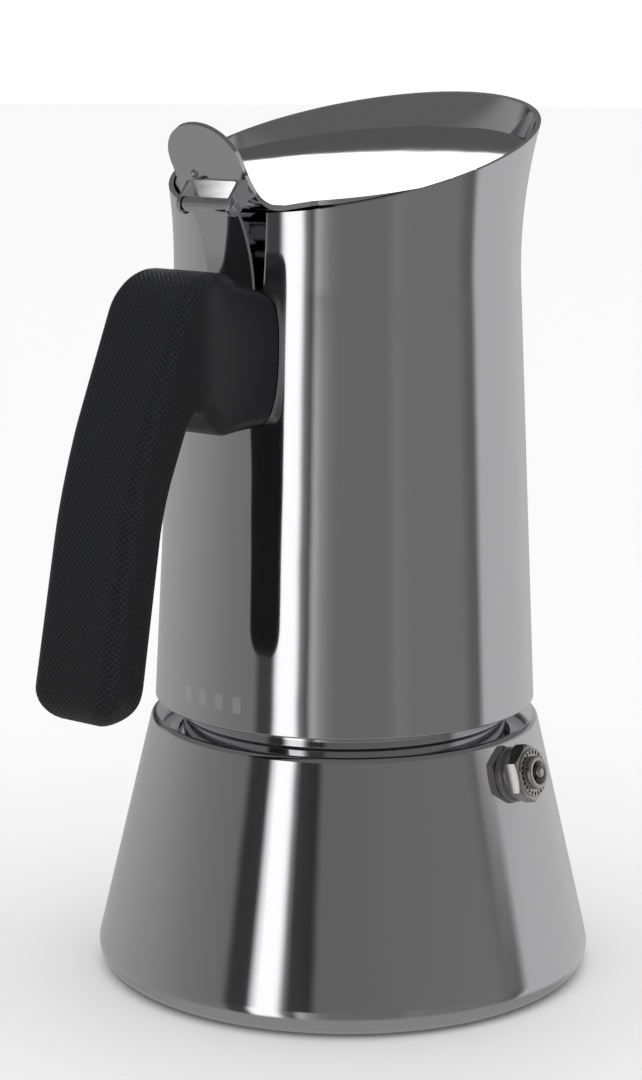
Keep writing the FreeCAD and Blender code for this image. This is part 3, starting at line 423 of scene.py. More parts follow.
@dataclass(frozen=True)
class Finishes:
    """Every finish of the pot, made once."""

    polished: Material
    marked: Material
    bare_brass: Material
    satin: Material
    handle: Material
    rubber: Material
    brass: Material
    spring: Material

    @staticmethod
    def make() -> "Finishes":
        """Build all materials.

        Returns:
            The finishes.
        """
        return Finishes(
            # Buffed 18/10 stainless: a cool mirror, barely softened by the buffing wheel
            polished=PolishedSteel("steel_buffed_mirror", "#d9d8da", 0.06).material(),
            marked=MarkedSteel("steel_buffed_mirror_etched", "#d9d8da", 0.06).material(),
            # Brass with no plating in the stamped notches: brown and dull
            bare_brass=SatinMetal("brass_bare_browned", "#6a4a30", 0.4).material(),
            # Pressed stainless, left as rolled: grey and soft
            satin=SatinMetal("steel_pressed_satin", "#bcbcbe", 0.3).material(),
            # Moulded black nylon: dark and matt, with a lattice of fine glints and painted
            # shade in its pits
            handle=GrainedNylon("nylon_black_grained", "#2a2b2e", 0.36).material(),
            # Food-grade silicone: pale, with a dull skin
            rubber=MouldedPlastic("silicone_pale", "#d8d4cc", 0.5).material(),
            # Nickel plate on turned brass: bright, a little warmer than the steel
            brass=SatinMetal("brass_nickel_plated", "#c9c6c4", 0.08).material(),
            # Drawn spring wire: darker, with a soft shine
            spring=SatinMetal("steel_spring_wire", "#a8a8aa", 0.25).material(),
        )


# ---------------------------------------------------------------------------------------------
# Mesh helpers
# ---------------------------------------------------------------------------------------------
def at(x: float, y: float, z: float) -> Vector:
    """Give a point written in millimetres as a vector in metres."""
    return Vector((x, y, z)) * MM


def finish_piece(
    name: str,
    mesh: Mesh,
    material: Material,
    body: Body,
    stands_for: str,
    sharp: float = 40.0,
) -> bpy.types.Object:
    """Turn a bmesh into a piece that rides on a body.

    Args:
        name: The piece's name.
        mesh: The shaped bmesh, which is freed.
        material: Its material.
        body: The CAD body that it rides on.
        stands_for: The CAD node that it replaces.
        sharp: Edges that turn by more than this many degrees shade as sharp.

    Returns:
        The new object.
    """
    data = bpy.data.meshes.new(name)
    mesh.to_mesh(data)
    mesh.free()
    data.materials.append(material)
    data.shade_smooth()
    data.set_sharp_from_angle(angle=math.radians(sharp))
    piece = bpy.data.objects.new(name, data)
    bpy.context.scene.collection.objects.link(piece)
    # Large flat faces keep their own normal, so that they mirror as flats
    weighted = piece.modifiers.new("flats", "WEIGHTED_NORMAL")
    weighted.keep_sharp = True
    weighted.weight = 100
    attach(piece, body.value)
    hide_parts(stands_for)
    data.calc_loop_triangles()
    log.info("%s: %d triangles", name, len(data.loop_triangles))
    return piece


def pick(items: Iterable[Any], kind: type) -> list[Any]:
    """Give the items that are of one kind, such as edges."""
    return [item for item in items if isinstance(item, kind)]


def wire(
    mesh: Mesh, points: Iterable[tuple[float, float]], closed: bool = True
) -> list[Vert]:
    """Add a line of edges in the XZ plane.

    Args:
        mesh: The bmesh that gets it.
        points: Distance from the axis and height of each corner, in millimetres.
        closed: Whether the last corner joins the first.

    Returns:
        Its vertices, in order.
    """
    corners = [mesh.verts.new(at(x, 0, z)) for x, z in points]
    pairs = list(zip(corners, corners[1:]))
    if closed:
        pairs.append((corners[-1], corners[0]))
    for start, end in pairs:
        mesh.edges.new((start, end))
    return corners


def round_corner(mesh: Mesh, corner: Vert, radius: float, steps: int) -> None:
    """Round a corner between two edges of a wire.

    Args:
        mesh: The bmesh that holds the wire.
        corner: The corner's vertex.
        radius: Radius of the rounding in millimetres.
        steps: Edges in the rounding.
    """
    first, second = [
        (edge.other_vert(corner).co - corner.co).normalized() for edge in corner.link_edges
    ]
    half = first.angle(second) / 2
    bmesh.ops.bevel(
        mesh, geom=[corner], offset=radius * MM / math.tan(half), offset_type="OFFSET",
        segments=steps, profile=0.5, affect="VERTICES", material=-1, clamp_overlap=True,
    )


def round_edges(
    mesh: Mesh, edges: Sequence[Edge], size: float, steps: int, clamp: bool = True
) -> None:
    """Round edges between faces.

    Args:
        mesh: The bmesh that holds them.
        edges: The edges.
        size: Width of the rounding on each face, in millimetres.
        steps: Faces in the rounding.
        clamp: Whether the width stops where two roundings meet.
    """
    bmesh.ops.bevel(
        mesh, geom=edges, offset=size * MM, offset_type="OFFSET", segments=steps,
        profile=0.5, affect="EDGES", material=-1, clamp_overlap=clamp,
    )


def face_outwards(mesh: Mesh) -> None:
    """Point all faces outwards."""
    bmesh.ops.recalc_face_normals(mesh, faces=mesh.faces)


def turn_all(
    mesh: Mesh, angle: float, axis: str, about: Sequence[float] = (0, 0, 0)
) -> None:
    """Turn everything in the bmesh about an axis through a point.

    Args:
        mesh: The bmesh.
        angle: Angle in radians.
        axis: "X", "Y" or "Z".
        about: A point of the axis, in metres.
    """
    bmesh.ops.rotate(
        mesh, verts=mesh.verts, cent=about, matrix=Matrix.Rotation(angle, 3, axis)
    )


def slice_all(
    mesh: Mesh, place: Sequence[float], away: Sequence[float], clear: bool = False
) -> list[Any]:
    """Slice everything in the bmesh along a plane.

    Args:
        mesh: The bmesh.
        place: A point of the plane, in metres.
        away: The plane's normal.
        clear: Whether everything past the plane is removed.

    Returns:
        The vertices and edges that lie on the plane.
    """
    return bmesh.ops.bisect_plane(
        mesh, geom=[*mesh.verts, *mesh.edges, *mesh.faces], dist=1e-7, plane_co=place,
        plane_no=away, clear_outer=clear,
    )["geom_cut"]


def spin_round(mesh: Mesh, steps: int) -> None:
    """Spin everything in the bmesh a full turn about Z and point its faces outwards.

    Args:
        mesh: The bmesh that holds the profile.
        steps: Faces round a full turn.
    """
    bmesh.ops.spin(
        mesh, geom=[*mesh.verts, *mesh.edges], cent=(0, 0, 0), axis=(0, 0, 1),
        angle=TURN, steps=steps, use_merge=True, use_duplicate=False,
    )
    bmesh.ops.remove_doubles(mesh, verts=mesh.verts, dist=0.001 * MM)
    bmesh.ops.dissolve_degenerate(mesh, edges=mesh.edges, dist=0.0005 * MM)
    face_outwards(mesh)


def join(mesh: Mesh, part: Mesh) -> None:
    """Add a second bmesh to the first, and free it.

    Args:
        mesh: The bmesh that gets the part.
        part: The part.
    """
    data = bpy.data.meshes.new("part")
    part.to_mesh(data)
    part.free()
    mesh.from_mesh(data)
    bpy.data.meshes.remove(data)


# ---------------------------------------------------------------------------------------------
# Studio
# ---------------------------------------------------------------------------------------------
@dataclass
class Studio:
    """Camera, floor and soft light."""

    eye: tuple[float, float, float] = (-439.2, -331.0, 196.0)
    target: tuple[float, float, float] = (-3.07, 4.07, 89.9)
    lens: float = 89.45
    roll: float = 0.005
    azimuth: float = 217.0
    # How bright the steel looks where it mirrors each direction: degrees round from the
    # camera, minus to its left, and an sRGB grey.
    low_ring: tuple[tuple[float, float], ...] = (
        (-180, 150), (-130, 142), (-100, 128), (-74, 112), (-56, 106), (-52, 60), (-44, 60),
        (-41.5, 235), (-39, 255), (-30, 255), (-26.5, 115), (-22.5, 75), (-19, 160),
        (-14.5, 128), (-10, 110), (-5, 101), (25, 101), (32, 112), (40, 107), (76, 106),
        (83, 90), (88, 87), (93, 165), (150, 170), (180, 150),
    )
    high_ring: tuple[tuple[float, float], ...] = (
        (-180, 150), (-168, 60), (-145, 60), (-133, 132), (-100, 118), (-57, 101), (-53, 50),
        (-43, 50), (-41.5, 190), (-38, 255), (-30, 255), (-27, 125), (-24.5, 55), (-15, 45),
        (-11.5, 96), (25, 100), (72, 103), (79, 93), (82, 125), (88, 153), (140, 134),
        (165, 150), (180, 165),
    )
    below: float = 128
    above: float = 90
    steel: float = 0.70  # share of the light that the steel gives back
    lamp_rise: float = 20.4
    lamp_half: float = 4.4
    lamp_soft: float = 1.6
    lamp_power: float = 1.3
    ceiling_angle: float = 100.0
    ceiling_power: float = 2.75
    floor_radius: float = 6.0  # metres

    def build(self) -> None:
        """Make the camera, the floor and the light."""
        self.make_camera()
        self.make_floor()
        self.make_light()
        self.hang_ceiling()
        bpy.context.scene.view_settings.view_transform = "Standard"

    def make_camera(self) -> None:
        """Place the camera."""
        data = bpy.data.cameras.new("camera")
        data.lens = self.lens
        data.sensor_width = 36.0
        data.clip_start = 0.01
        data.clip_end = 50.0
        camera = bpy.data.objects.new("camera", data)
        eye, target = at(*self.eye), at(*self.target)
        look = (target - eye).to_track_quat("-Z", "Y").to_matrix()
        camera.matrix_world = Matrix.Translation(eye) @ (
            look @ Matrix.Rotation(self.roll, 3, "Z")
        ).to_4x4()
        bpy.context.scene.collection.objects.link(camera)
        bpy.context.scene.camera = camera

    def make_floor(self) -> None:
        """Lay the pale floor, which the steel doesn't mirror."""
        mesh = bmesh.new()
        bmesh.ops.create_circle(mesh, cap_ends=True, segments=96, radius=self.floor_radius)
        data = bpy.data.meshes.new("floor")
        mesh.to_mesh(data)
        mesh.free()
        data.materials.append(MouldedPlastic("floor_white_matt", "#fafafa", 0.9).material())
        floor = bpy.data.objects.new("floor", data)
        floor.visible_glossy = False
        bpy.context.scene.collection.objects.link(floor)

    def ring(self, tree: Tree, turn: Socket, stops: Sequence[tuple[float, float]]) -> Socket:
        """Add the ramp that lights one ring of directions.

        Args:
            tree: The world's node tree.
            turn: Position round the camera, from 0 to 1.
            stops: Degrees and sRGB grey of each stop.

        Returns:
            The ramp's colour.
        """
        ramp = add_node(tree, "ValToRGB", {"Fac": turn})
        fill_ramp(ramp.color_ramp, [(angle / 360 + 0.5, grey(tone)) for angle, tone in stops])
        return ramp.outputs["Color"]

    def hang_panels(self, tree: Tree, facing: Socket) -> Socket:
        """Add the soft panels all round, in layers by height.

        Args:
            tree: The world's node tree.
            facing: Direction, turned so that +X points to the camera.

        Returns:
            The panels' colour.
        """
        parts = add_node(tree, "SeparateXYZ", {"Vector": facing}).outputs
        angle = add_node(tree, "Math", {0: parts["Y"], 1: parts["X"]}, operation="ARCTAN2")
        turn = add_node(
            tree, "Math",
            {0: angle.outputs["Value"], 1: 1 / TURN, 2: 0.5}, operation="MULTIPLY_ADD",
        ).outputs["Value"]
        colour = self.ring(tree, turn, self.low_ring)
        # Each layer fades in between two heights, each the sine of an elevation
        layers = (
            (-0.05, 0.10, self.ring(tree, turn, self.high_ring)),
            (-0.35, -0.55, linear(grey(self.below))),
            (0.27, 0.36, linear(grey(self.above))),
        )
        for start, end, light in layers:
            share = add_node(
                tree, "MapRange", {"Value": parts["Z"], "From Min": start, "From Max": end},
                interpolation_type="SMOOTHSTEP",
            )
            colour = add_node(
                tree, "Mix",
                {"Factor": share.outputs["Result"], 6: colour, 7: light}, data_type="RGBA",
            ).outputs[2]
        return colour

    def hang_lamp(self, tree: Tree, facing: Socket, panels: Socket) -> Socket:
        """Add a soft lamp behind the pot and above it, which the lid and the barrel mirror.

        Args:
            tree: The world's node tree.
            facing: Direction, turned so that +X points to the camera.
            panels: Colour of the panels round it.

        Returns:
            The colour with the lamp.
        """
        rise = math.radians(self.lamp_rise)
        toward = add_node(
            tree, "VectorMath",
            {0: facing, 1: (-math.cos(rise), 0.0, math.sin(rise))}, operation="DOT_PRODUCT",
        )
        wide, soft = math.radians(self.lamp_half), math.radians(self.lamp_soft)
        lamp = add_node(
            tree, "MapRange",
            {"Value": toward.outputs["Value"], "From Min": math.cos(wide + soft),
             "From Max": math.cos(wide)},
            interpolation_type="SMOOTHSTEP",
        )
        return add_node(
            tree, "Mix",
            {"Factor": lamp.outputs["Result"], 6: panels, 7: (*[self.lamp_power] * 3, 1.0)},
            data_type="RGBA",
        ).outputs[2]

    def make_light(self) -> None:
        """Light the pot from soft panels all round and a lamp behind, on a white ground."""
        world = bpy.data.worlds.new("studio")
        bpy.context.scene.world = world
        world.use_nodes = True
        tree = world.node_tree
        tree.nodes.clear()
        facing = add_node(
            tree, "VectorRotate",
            {"Vector": add_node(tree, "TexCoord").outputs["Generated"], "Axis": (0, 0, 1),
             "Angle": -math.radians(self.azimuth)},
            rotation_type="AXIS_ANGLE",
        ).outputs["Vector"]
        sky = self.hang_lamp(tree, facing, self.hang_panels(tree, facing))
        seen = add_node(tree, "Background", {"Color": (1.0, 1.0, 1.0, 1.0), "Strength": 1.0})
        lights = add_node(tree, "Background", {"Color": sky, "Strength": 1 / self.steel})
        both = add_node(
            tree, "MixShader",
            {0: add_node(tree, "LightPath").outputs["Is Camera Ray"],
             1: lights.outputs["Background"], 2: seen.outputs["Background"]},
        )
        add_node(tree, "OutputWorld", {"Surface": both.outputs["Shader"]})

    def hang_ceiling(self) -> None:
        """Light the floor evenly from a wide soft ceiling that the steel doesn't mirror."""
        data = bpy.data.lights.new("ceiling", "SUN")
        data.angle = math.radians(self.ceiling_angle)
        data.energy = self.ceiling_power
        panel = bpy.data.objects.new("ceiling", data)
        panel.visible_glossy = False
        bpy.context.scene.collection.objects.link(panel)


# ---------------------------------------------------------------------------------------------
# Boiler
# ---------------------------------------------------------------------------------------------
@dataclass
class Boiler:
    """The spun boiler with its rolled screw neck."""

    sheet: float = 1.0
    foot: float = 53.15
    top: float = 40.5
    height: float = 53.9
    neck: float = 33.9
    neck_top: float = 66.0
    disc: float = 45.7
    disc_height: float = 2.5
    pitch: float = 3.0
    thread_start: float = 58.2
    thread_root: float = 33.65
    thread_crest: float = 34.8
    thread_half: float = 0.7
    crest_half: float = 0.25
    thread_run: float = 5.8
    run_out: float = 0.15  # share of a turn
    # Which corner of the profile, its radius and its steps
    roundings: tuple[tuple[int, float, int], ...] = (
        (1, 0.3, 2), (2, 0.4, 3), (3, 4.6, 12), (4, 1.3, 6), (5, 0.5, 3), (6, 0.35, 3),
        (7, 0.35, 3), (10, 3.6, 8),
    )
    steps: int = 256

    def build(self, finishes: Finishes) -> None:
        """Make the boiler's wall.

        Args:
            finishes: The pot's finishes.
        """
        mesh = bmesh.new()
        self.spin_wall(mesh)
        self.roll_thread(mesh)
        finish_piece(
            "boiler_wall", mesh, finishes.polished, Body.BOILER, "boiler_shell"
        )

    def spin_wall(self, mesh: Mesh) -> None:
        """Spin the boiler's sheet from its profile.

        Args:
            mesh: The bmesh that gets the wall.
        """
        slope = (self.foot - self.top) / self.height
        run = self.sheet * math.hypot(1, slope)
        under = self.height - self.sheet
        inner_top = self.top - run + slope * self.sheet
        inner_foot = self.foot - run - slope * self.sheet
        corners = wire(mesh, [
            (0, self.disc_height), (self.disc, self.disc_height), (self.disc, 0),
            (self.foot, 0), (self.top, self.height), (self.neck, self.height),
            (self.neck, self.neck_top), (self.neck - self.sheet, self.neck_top),
            (self.neck - self.sheet, under), (inner_top, under), (inner_foot, self.sheet),
            (self.disc + self.sheet, self.sheet),
            (self.disc + self.sheet, self.disc_height + self.sheet),
            (0, self.disc_height + self.sheet),
        ], closed=False)
        for index, radius, steps in self.roundings:
            round_corner(mesh, corners[index], radius, steps)
        spin_round(mesh, self.steps)

    def roll_thread(self, mesh: Mesh) -> None:
        """Add the rolled thread's ridge round the neck, tapered and closed at both ends.

        Args:
            mesh: The boiler's bmesh.
        """
        ridge = bmesh.new()
        start, root, crest = self.thread_start, self.thread_root, self.thread_crest
        wire(ridge, [
            (root, start - self.thread_half), (crest, start - self.crest_half),
            (crest, start + self.crest_half), (root, start + self.thread_half),
        ])
        turns = self.thread_run / self.pitch
        steps = round(96 * turns)
        made = bmesh.ops.spin(
            ridge, geom=[*ridge.verts, *ridge.edges], cent=(0, 0, 0), axis=(0, 0, 1),
            angle=TURN * turns, steps=steps, dvec=at(0, 0, self.thread_run / steps),
        )
        last = pick(made["geom_last"], Edge)
        first = [e for e in ridge.edges if len(e.link_faces) == 1 and e not in last]
        for ends in (first, last):
            bmesh.ops.contextual_create(ridge, geom=ends)
        least = 0.05  # the ends keep a little height, so that no face collapses
        for vert in ridge.verts:
            place = math.atan2(vert.co.y, vert.co.x) / TURN
            lap = round((vert.co.z / MM - start) / self.pitch - place)
            share = min(lap + place, turns - lap - place) / self.run_out
            share = min(max(share, least), 1.0)
            reach = math.hypot(vert.co.x, vert.co.y) / MM
            shrink = (root + (reach - root) * share) / reach
            vert.co = Vector((vert.co.x * shrink, vert.co.y * shrink, vert.co.z))
        face_outwards(ridge)
        join(mesh, ridge)


# ---------------------------------------------------------------------------------------------
# Collector
# ---------------------------------------------------------------------------------------------
@dataclass
class Collector:
    """The upper pot: a tapered wall that flares to a slanting, trimmed mouth."""

    sheet: float = 1.0
    low: float = 57.4
    low_radius: float = 39.75
    low_round: float = 0.42
    flare_height: float = 144.0
    flare_neck: float = 35.59
    flare_radius: float = 108.0
    flare_turn: float = 24.0
    rim_height: float = 170.1
    rim_slope: float = 0.285
    rim_round: float = 0.47
    steps: int = 256

    @property
    def taper(self) -> float:
        """How much the straight wall narrows for each millimetre up."""
        return (self.low_radius - self.flare_neck) / (self.flare_height - self.low)

    def build(self, finishes: Finishes) -> None:
        """Make the collector's wall.

        Args:
            finishes: The pot's finishes.
        """
        mesh = bmesh.new()
        self.spin_wall(mesh)
        finish_piece(
            "collector_wall", mesh, finishes.marked, Body.COLLECTOR,
            "collector_shell",
        )

    def face(self, mesh: Mesh, inset: float) -> list[Vert]:
        """Draw one face of the wall: its straight taper, then its flare.

        Args:
            mesh: The bmesh that gets it.
            inset: Distance inside the outer face.

        Returns:
            The line's two end vertices, lower end first.
        """
        span = math.hypot(1, self.taper)
        start = self.flare_neck - inset
        low, neck = wire(
            mesh,
            [(self.low_radius - inset, self.low), (start, self.flare_height)],
            closed=False,
        )
        radius = self.flare_radius + inset
        centre = at(start + radius / span, 0, self.flare_height + radius * self.taper / span)
        made = bmesh.ops.spin(
            mesh, geom=[neck], cent=centre, axis=(0, 1, 0),
            angle=math.radians(self.flare_turn), steps=28,
        )
        return [low, pick(made["geom_last"], Vert)[0]]

    def radius_at(self, height: float) -> float:
        """Give the outer radius of the wall at a height.

        Args:
            height: Height in millimetres.

        Returns:
            The radius in millimetres.
        """
        radius = self.flare_neck - self.taper * (height - self.flare_height)
        past = max(height - self.flare_height, 0.0)
        return radius + self.flare_radius - math.sqrt(self.flare_radius**2 - past**2)

    def spin_wall(self, mesh: Mesh) -> None:
        """Spin the sheet, trim it along the rim's plane and close the rim.

        Args:
            mesh: The bmesh that gets the wall.
        """
        outer_low, outer_tip = self.face(mesh, 0.0)
        inner_low, inner_tip = self.face(mesh, self.sheet)
        mesh.edges.new((outer_low, inner_low))
        mesh.edges.new((outer_tip, inner_tip))
        bmesh.ops.remove_doubles(mesh, verts=mesh.verts, dist=0.001 * MM)
        for corner in [v for v in mesh.verts if abs(v.co.z - self.low * MM) < 1e-7]:
            round_corner(mesh, corner, self.low_round, 4)
        spin_round(mesh, self.steps)
        normal = Vector((-self.rim_slope, 0, 1)).normalized()
        rim = slice_all(mesh, at(0, 0, self.rim_height), normal, clear=True)
        bmesh.ops.bridge_loops(mesh, edges=pick(rim, Edge))
        face_outwards(mesh)
        lips = [
            e for e in mesh.edges
            if len(e.link_faces) == 2 and e.calc_face_angle(0) > 1.0
            and e.verts[0].co.z > (self.flare_height - 4) * MM
        ]
        round_edges(mesh, lips, self.rim_round, 5)


# ---------------------------------------------------------------------------------------------
# Safety valve
# ---------------------------------------------------------------------------------------------
@dataclass
class SafetyValve:
    """The turned valve body: hexagon, notched collar and hollow nozzle, square to the cone."""

    face: float = 1.2
    flats: float = 10.4
    hexagon_end: float = 4.2
    collar: float = 4.8
    collar_end: float = 4.7
    notch_out: float = 4.55
    notch_in: float = 3.8
    notch_depth: float = 0.22
    nozzle: float = 3.4
    nozzle_end: float = 6.0
    bore: float = 1.23
    mouth: float = 2.4
    shank: float = 4.0
    tail: float = 5.4
    out: float = 42.2366
    height: float = 46.499
    tilt: float = 13.208
    turn: float = 2.0
    steps: int = 96

    def build(self, finishes: Finishes) -> None:
        """Make the valve body.

        Args:
            finishes: The pot's finishes.
        """
        mesh = bmesh.new()
        self.turn_bar(mesh)
        self.mill_flats(mesh)
        self.stamp_notches(mesh)
        turn_all(mesh, math.radians(90 - self.tilt), "X")
        bmesh.ops.translate(mesh, verts=mesh.verts, vec=at(0, -self.out, self.height))
        turn_all(mesh, math.radians(self.turn), "Z")
        piece = finish_piece(
            "valve_hexagon", mesh, finishes.brass, Body.BOILER, "valve_body",
            sharp=30.0,
        )
        piece.data.materials.append(finishes.bare_brass)

    def turn_bar(self, mesh: Mesh) -> None:
        """Turn the valve's outline about its axis.

        Args:
            mesh: The bmesh that gets the bar.
        """
        corner = self.flats / 2 / math.cos(math.pi / 6)
        corners = wire(mesh, [
            (self.bore, -self.tail), (self.shank, -self.tail), (self.shank, self.face),
            (corner - 0.45, self.face), (corner, self.face + 0.35),
            (corner, self.hexagon_end - 0.4), (corner - 0.8, self.hexagon_end),
            (self.collar + 0.12, self.hexagon_end), (self.collar, self.hexagon_end + 0.12),
            (self.collar, self.collar_end), (self.notch_out, self.collar_end),
            (self.notch_in, self.collar_end), (self.nozzle, self.collar_end),
            (self.nozzle, self.nozzle_end), (self.mouth, self.nozzle_end),
            (self.bore, self.nozzle_end - 2.4),
        ])
        for index, radius in ((9, 0.15), (13, 0.4), (14, 0.2)):
            round_corner(mesh, corners[index], radius, 4)
        spin_round(mesh, self.steps)

    def mill_flats(self, mesh: Mesh) -> None:
        """Mill the six flats and close each one.

        Args:
            mesh: The turned bar.
        """
        for index in range(6):
            angle = math.radians(60 * index)
            away = Vector((math.cos(angle), math.sin(angle), 0))
            cut = slice_all(mesh, away * self.flats / 2 * MM, away, clear=True)
            bmesh.ops.holes_fill(mesh, edges=pick(cut, Edge), sides=0)
        face_outwards(mesh)

    def stamp_notches(self, mesh: Mesh) -> None:
        """Stamp a ring of plain notches into the collar's face.

        Args:
            mesh: The milled bar.
        """
        ring = {}
        for face in mesh.faces:
            middle = face.calc_center_median() / MM
            reach = math.hypot(middle.x, middle.y)
            on_face = abs(middle.z - self.collar_end) < 0.01
            if self.notch_in < reach < self.notch_out and on_face:
                place = math.degrees(math.atan2(middle.y, middle.x)) % 360
                ring[int(place // (360 / self.steps))] = face
        chosen = [face for place, face in ring.items() if place % 4 in (0, 1)]
        bmesh.ops.inset_region(
            mesh, faces=chosen, thickness=0.03 * MM, depth=-self.notch_depth * MM,
            use_even_offset=True,
        )
        for face in chosen:
            face.material_index = 1


# ---------------------------------------------------------------------------------------------
# Lid
# ---------------------------------------------------------------------------------------------
@dataclass
class Lid:
    """The sloping lid, cut and bent from one sheet, with its thumb tab, ears and pip."""

    sheet: float = 1.0
    inset: float = 1.45
    level: float = 36.0
    height: float = 160.7
    slope: float = 0.174
    reach: float = 36.0
    root: float = 31.0
    root_round: float = 5.0
    bend_start: float = 35.64
    bend: float = 5.6
    lean: float = 30.0
    crown: float = 16.4
    tab_half: float = 8.6
    # Distance past the bend's start, half width and rounding of the tab's lower corners
    tab_corners: tuple[tuple[float, float, float], ...] = ((1.2, 11.3, 12.0), (9.0, 8.6, 14.0))
    edge_round: float = 0.22
    window_half: float = 5.7
    window_start: float = 3.0
    window_top: float = 5.6
    hinge_out: float = 44.076
    hinge_up: float = 161.658
    ear: float = 0.8
    ear_radius: float = 2.0
    ear_round: float = 0.12
    ear_root: tuple[tuple[float, float], ...] = ((42.95, 166.0), (41.3, 164.2), (40.2, 162.4))
    pip: float = 0.8
    pip_place: tuple[float, float, float] = (-43.82, 3.8, 167.5)
    bend_rows: int = 16

    @property
    def tilt(self) -> float:
        """The lid's slope as an angle."""
        return math.atan(self.slope)

    @property
    def lean_angle(self) -> float:
        """How far the tab leans from upright, in radians."""
        return math.radians(self.lean)

    @property
    def bend_run(self) -> float:
        """Length of sheet in the tab's bend."""
        return self.bend * (math.pi / 2 - self.lean_angle + self.tilt)

    def build(self, finishes: Finishes, collector: Collector) -> None:
        """Make the lid.

        Args:
            finishes: The pot's finishes.
            collector: The collector, whose mouth gives the lid's outline.
        """
        mesh = bmesh.new()
        self.cut_disc(mesh, collector)
        self.add_tab(mesh)
        self.bend_sheet(mesh)
        self.add_ears(mesh)
        self.add_pip(mesh)
        finish_piece(
            "lid_with_tab", mesh, finishes.polished, Body.LID, "lid_plate"
        )

    def cut_disc(self, mesh: Mesh, collector: Collector) -> None:
        """Cut the disc's outline from the mouth's form and lay it flat.

        Args:
            mesh: The bmesh that gets the disc.
            collector: The collector, whose mouth gives the outline.
        """
        collector.face(mesh, self.inset)
        spin_round(mesh, 192)
        pivot = at(-self.level, 0, self.height)
        kept = set(pick(slice_all(mesh, pivot, (-self.slope, 0, 1)), Vert))
        bmesh.ops.delete(
            mesh, geom=[v for v in mesh.verts if v not in kept], context="VERTS"
        )
        turn_all(mesh, self.tilt, "Y", pivot)
        bmesh.ops.edgeloop_fill(mesh, edges=mesh.edges)
        front = at((self.reach + self.level) / math.cos(self.tilt) - self.level, 0, 0)
        slice_all(mesh, front, (1, 0, 0), clear=True)
        slice_all(mesh, at(-self.root, 0, 0), (-1, 0, 0), clear=True)

    def add_tab(self, mesh: Mesh) -> None:
        """Draw the tab on the flat sheet, fill the sheet and cut the window.

        Args:
            mesh: The flat disc.
        """
        chord = max(mesh.edges, key=lambda e: -(e.verts[0].co.x + e.verts[1].co.x))
        start = max(chord.verts, key=lambda v: v.co.y)
        end = chord.other_vert(start)
        bmesh.ops.delete(mesh, geom=list(mesh.faces), context="FACES_ONLY")
        bmesh.ops.delete(mesh, geom=[chord], context="EDGES")
        bend_end = self.bend_start + self.bend_run
        rise = self.bend * (1 - math.sin(self.lean_angle))
        straight = (self.crown - rise - 0.1) / math.cos(self.lean_angle)
        # The tip's rounding is just short of a half circle, so that its corners stay apart
        shape = [(self.bend_start + out, *rest) for out, *rest in self.tab_corners]
        shape.append((bend_end + straight, self.tab_half, self.tab_half * 0.97))
        chain = [start]
        rounded = []
        for side, corners in ((1, shape), (-1, shape[::-1])):
            for out, half, radius in corners:
                corner = mesh.verts.new(at(-out, side * half, self.height))
                mesh.edges.new((chain[-1], corner))
                chain.append(corner)
                rounded.append((corner, radius))
        mesh.edges.new((chain[-1], end))
        rounded += [(start, self.root_round), (end, self.root_round)]
        for corner, radius in rounded:
            round_corner(mesh, corner, radius, 10)
        bmesh.ops.remove_doubles(mesh, verts=mesh.verts, dist=0.03 * MM)
        bmesh.ops.edgeloop_fill(mesh, edges=mesh.edges)
        window_top = bend_end + (self.window_top - rise) / math.cos(self.lean_angle)
        window_low = self.bend_start + self.window_start
        rows = [
            self.bend_start + self.bend_run * step / self.bend_rows
            for step in range(self.bend_rows + 1)
        ]
        for out in (*rows, window_low, window_top):
            slice_all(mesh, at(-out, 0, 0), (1, 0, 0))
        for side in (1, -1):
            slice_all(mesh, at(0, side * self.window_half, 0), (0, 1, 0))
        hole = []
        for face in mesh.faces:
            middle = face.calc_center_median() / MM
            if abs(middle.y) < self.window_half and -window_top < middle.x < -window_low:
                hole.append(face)
        bmesh.ops.delete(mesh, geom=hole, context="FACES")

    def bend_sheet(self, mesh: Mesh) -> None:
        """Bend the tab up, give the sheet its thickness and break its edges.

        Args:
            mesh: The flat sheet with its tab.
        """
        for vert in mesh.verts:
            run = -vert.co.x / MM - self.bend_start
            if run > 0:
                turn = min(run, self.bend_run) / self.bend
                past = max(run - self.bend_run, 0)
                out = self.bend * math.sin(turn) + past * math.cos(turn)
                up = self.bend * (1 - math.cos(turn)) + past * math.sin(turn)
                vert.co = at(-(self.bend_start + out), vert.co.y / MM, self.height + up)
        turn_all(mesh, -self.tilt, "Y", at(-self.level, 0, self.height))
        face_outwards(mesh)
        disc = max(mesh.faces, key=lambda f: f.calc_area())
        if disc.normal.z < 0:
            bmesh.ops.reverse_faces(mesh, faces=mesh.faces)
        bmesh.ops.solidify(mesh, geom=list(mesh.faces), thickness=-self.sheet * MM)
        face_outwards(mesh)
        brinks = [e for e in mesh.edges if len(e.link_faces) == 2 and e.calc_face_angle(0) > 1]
        round_edges(mesh, brinks, self.edge_round, 3)

